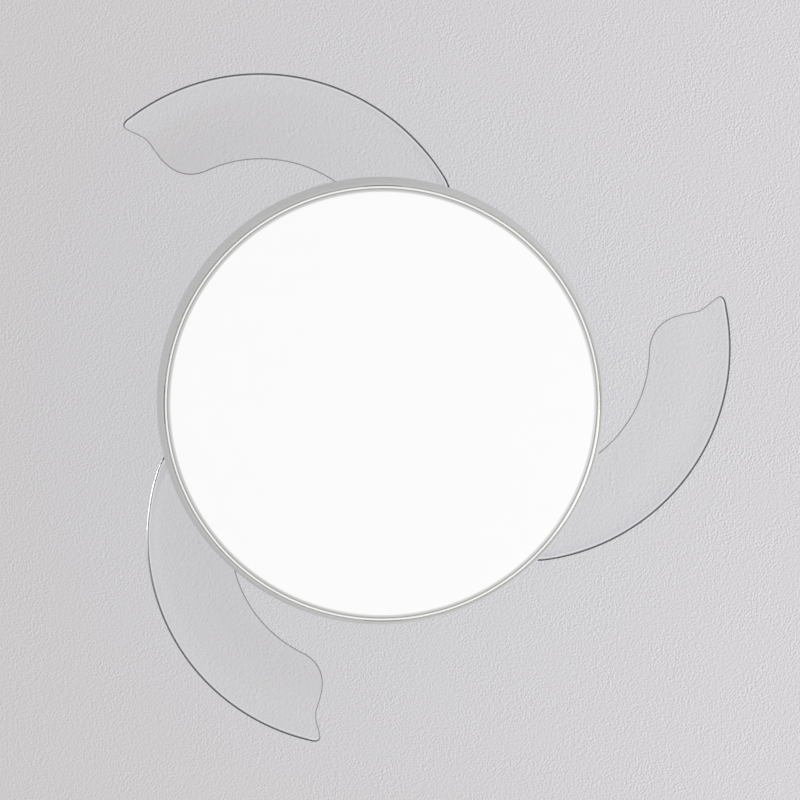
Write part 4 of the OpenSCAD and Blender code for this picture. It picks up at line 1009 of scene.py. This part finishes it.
stageValues = {
    "half": 5.0,            # half its side
    "z": 0.0006,            # a little above the hanger's plate
    # painted light: the ceiling is painted lighter towards +X, as if lit from that side
    "left": (0.646, 0.632, 0.639),
    "right": (0.704, 0.690, 0.707),
    "toneSpan": (-0.5, 0.5),        # X over which that painted light goes from the one to the other
    "ownLight": 0.8,        # share of the ceiling's look that is its own level and not the lamps'
    "grain": 340,           # waves per metre of the plaster's bumps, whose shading is painted
    "slant": (0.0009, 0.0004, 0),   # step between the two samples whose difference is the painted shading of the bumps
    "relief": (0.155, 0.235),       # strength of that painted shading, from left to right
    "reliefSpan": (-0.3, 0.5),
    "patches": 18,                  # waves per metre of its unevenness
    "patchSpan": (0.7, 1.3),
    "halo": (1.0, 1.006, 1.024),    # painted light of the lamp: a bluish tint close round the fan
    "haloSpan": (0.30, 0.55),       # radii between which it fades
}


# A square in the plane z, clear from above. Its colour holds painted light that grows towards +X, the painted
# shading of the plaster's bumps as the difference of two noises a small step apart, and painted lamp light close
# round the fan.
def makeCeiling(v):
    mesh = bpy.data.meshes.new("ceiling")
    s, z = v["half"], v["z"]
    mesh.from_pydata([(-s, -s, z), (-s, s, z), (s, s, z), (s, -s, z)], [], [(0, 1, 2, 3)])
    ceiling = addObject("ceiling", mesh)
    material = bpy.data.materials.new("ceilingPaint")
    material.use_nodes = True
    tree = material.node_tree
    tree.nodes.clear()
    place = addNode(tree, "ShaderNodeTexCoord").outputs["Object"]
    across = axesOf(tree, place)["X"]
    # painted light: from the left colour to the lighter right one across X
    tone = mixColours(tree, remap(tree, across, *v["toneSpan"], 0, 1), (*v["left"], 1), (*v["right"], 1))
    # painted light and shade of the plaster's bumps: the difference of two noises a small step apart
    aside = addVectorMath(tree, "ADD", place, v["slant"])[0]
    near, far = (noiseOf(tree, v["grain"], 2, 0.5, spot) for spot in (place, aside))
    slope = remap(tree, addMath(tree, "SUBTRACT", near, far), -0.2, 0.2, -1, 1)
    depth = addMath(tree, "MULTIPLY", remap(tree, across, *v["reliefSpan"], *v["relief"]),
                    remap(tree, noiseOf(tree, v["patches"], 2), *midNoise, *v["patchSpan"]))
    shade = addMath(tree, "ADD", 1.0, addMath(tree, "MULTIPLY", slope, depth))
    # painted light: a bluish tint on the ceiling close round the fan
    away = addVectorMath(tree, "LENGTH", place)["Value"]
    halo = mixColours(tree, remap(tree, away, *v["haloSpan"], 1, 0), (1, 1, 1, 1), (*v["halo"], 1))
    colour = mixColours(tree, 1.0, mixColours(tree, 1.0, tone, shade, "MULTIPLY"), halo, "MULTIPLY")
    diffuse = tree.nodes.new("ShaderNodeBsdfDiffuse")
    emission = tree.nodes.new("ShaderNodeEmission")
    tree.links.new(colour, diffuse.inputs["Color"])
    tree.links.new(colour, emission.inputs["Color"])
    own = mixShaders(tree, v["ownLight"], diffuse.outputs[0], emission.outputs[0])
    seeThrough = tree.nodes.new("ShaderNodeBsdfTransparent")
    behind = addNode(tree, "ShaderNodeNewGeometry").outputs["Backfacing"]
    out = tree.nodes.new("ShaderNodeOutputMaterial")
    tree.links.new(mixShaders(tree, behind, own, seeThrough.outputs[0]), out.inputs["Surface"])
    mesh.materials.append(material)


makeCeiling(stageValues)

worldValues = {
    "seen": (0.80, 0.80, 0.80),         # what the camera sees past the ceiling
    "light": (0.66, 0.66, 0.665),       # what lights the fan
    "mirrorPole": (0.95, 0.95, 0.95),   # what gloss and clear pieces see straight down or up
    "mirrorSide": (0.30, 0.30, 0.31),   # and at the horizon
    "mirrorSpan": (0.50, 0.90),         # heights between which one turns into the other
    "mirrorLean": (0.5, 0.25, 0),       # how much brighter gloss sees each side than the middle
}


def makeWorld(v):
    world = bpy.data.worlds.new("softRoom")
    bpy.context.scene.world = world
    world.use_nodes = True
    tree = world.node_tree
    tree.nodes.clear()
    direction = addNode(tree, "ShaderNodeTexCoord").outputs["Generated"]
    rays = addNode(tree, "ShaderNodeLightPath").outputs
    steep = remap(tree, addMath(tree, "ABSOLUTE", axesOf(tree, direction)["Z"]), *v["mirrorSpan"], 0, 1)
    mirror = mixColours(tree, steep, (*v["mirrorSide"], 1), (*v["mirrorPole"], 1))
    lean = addVectorMath(tree, "DOT_PRODUCT", direction, v["mirrorLean"])["Value"]
    mirror = mixColours(tree, 1.0, mirror, addMath(tree, "ADD", 1.0, lean), "MULTIPLY")
    sharp = addMath(tree, "MAXIMUM", rays["Is Glossy Ray"], rays["Is Transmission Ray"])
    colour = mixColours(tree, sharp, (*v["light"], 1), mirror)
    colour = mixColours(tree, rays["Is Camera Ray"], colour, (*v["seen"], 1))
    background = tree.nodes.new("ShaderNodeBackground")
    tree.links.new(colour, background.inputs["Color"])
    out = tree.nodes.new("ShaderNodeOutputWorld")
    tree.links.new(background.outputs[0], out.inputs["Surface"])


makeWorld(worldValues)

# azimuth in degrees from +X towards +Y, drop below the ceiling and distance from the axis in metres, power in watts,
# and the pieces that each lamp acts on; one that is glintOnly shows in gloss and lights no colour
lampValues = {
    "rightWindow": {"azimuth": 20, "drop": 0.8, "away": 2.5, "size": (1.5, 1.3), "power": 18, "glintOnly": False,
                    "pieces": ["ceiling", "canopyShell", "bladeCover", "lampPan", "trimRing", "opalDiffuser"]},
    "leftGlint": {"azimuth": 183, "drop": 0.85, "away": 2.5, "size": (0.9, 1.5), "power": 750, "glintOnly": True,
                  "pieces": ["clearBlade3"]},
}
lampAim = -0.13     # height on the axis that they point at


def makeLamp(name, v):
    data = bpy.data.lights.new(name, "AREA")
    data.shape = "RECTANGLE"
    data.size, data.size_y = v["size"]
    data.energy = v["power"]
    lamp = addObject(name, data)
    reach = bpy.data.collections.new(name + "Reach")
    for piece in v["pieces"]:
        reach.objects.link(bpy.data.objects[piece])
    lamp.light_linking.receiver_collection = reach
    if v["glintOnly"]:
        lamp.visible_diffuse = lamp.visible_transmission = False
        data.cycles.max_bounces = 0     # only what the camera sees straight in the surface
    a = math.radians(v["azimuth"])
    at = np.array([v["away"] * math.cos(a), v["away"] * math.sin(a), -v["drop"]])
    back = unit(at - np.array([0, 0, lampAim]))     # an area lamp shines along its -Z
    right = unit(np.cross([0, 0, 1], back))
    up = np.cross(back, right)
    lamp.matrix_world = Matrix([[*row, shift] for row, shift in zip(np.stack([right, up, back], 1), at)]
                               + [[0, 0, 0, 1]])


for name, values in lampValues.items():
    makeLamp(name, values)
print("stage made")

bpy.context.scene.view_settings.view_transform = "Standard"
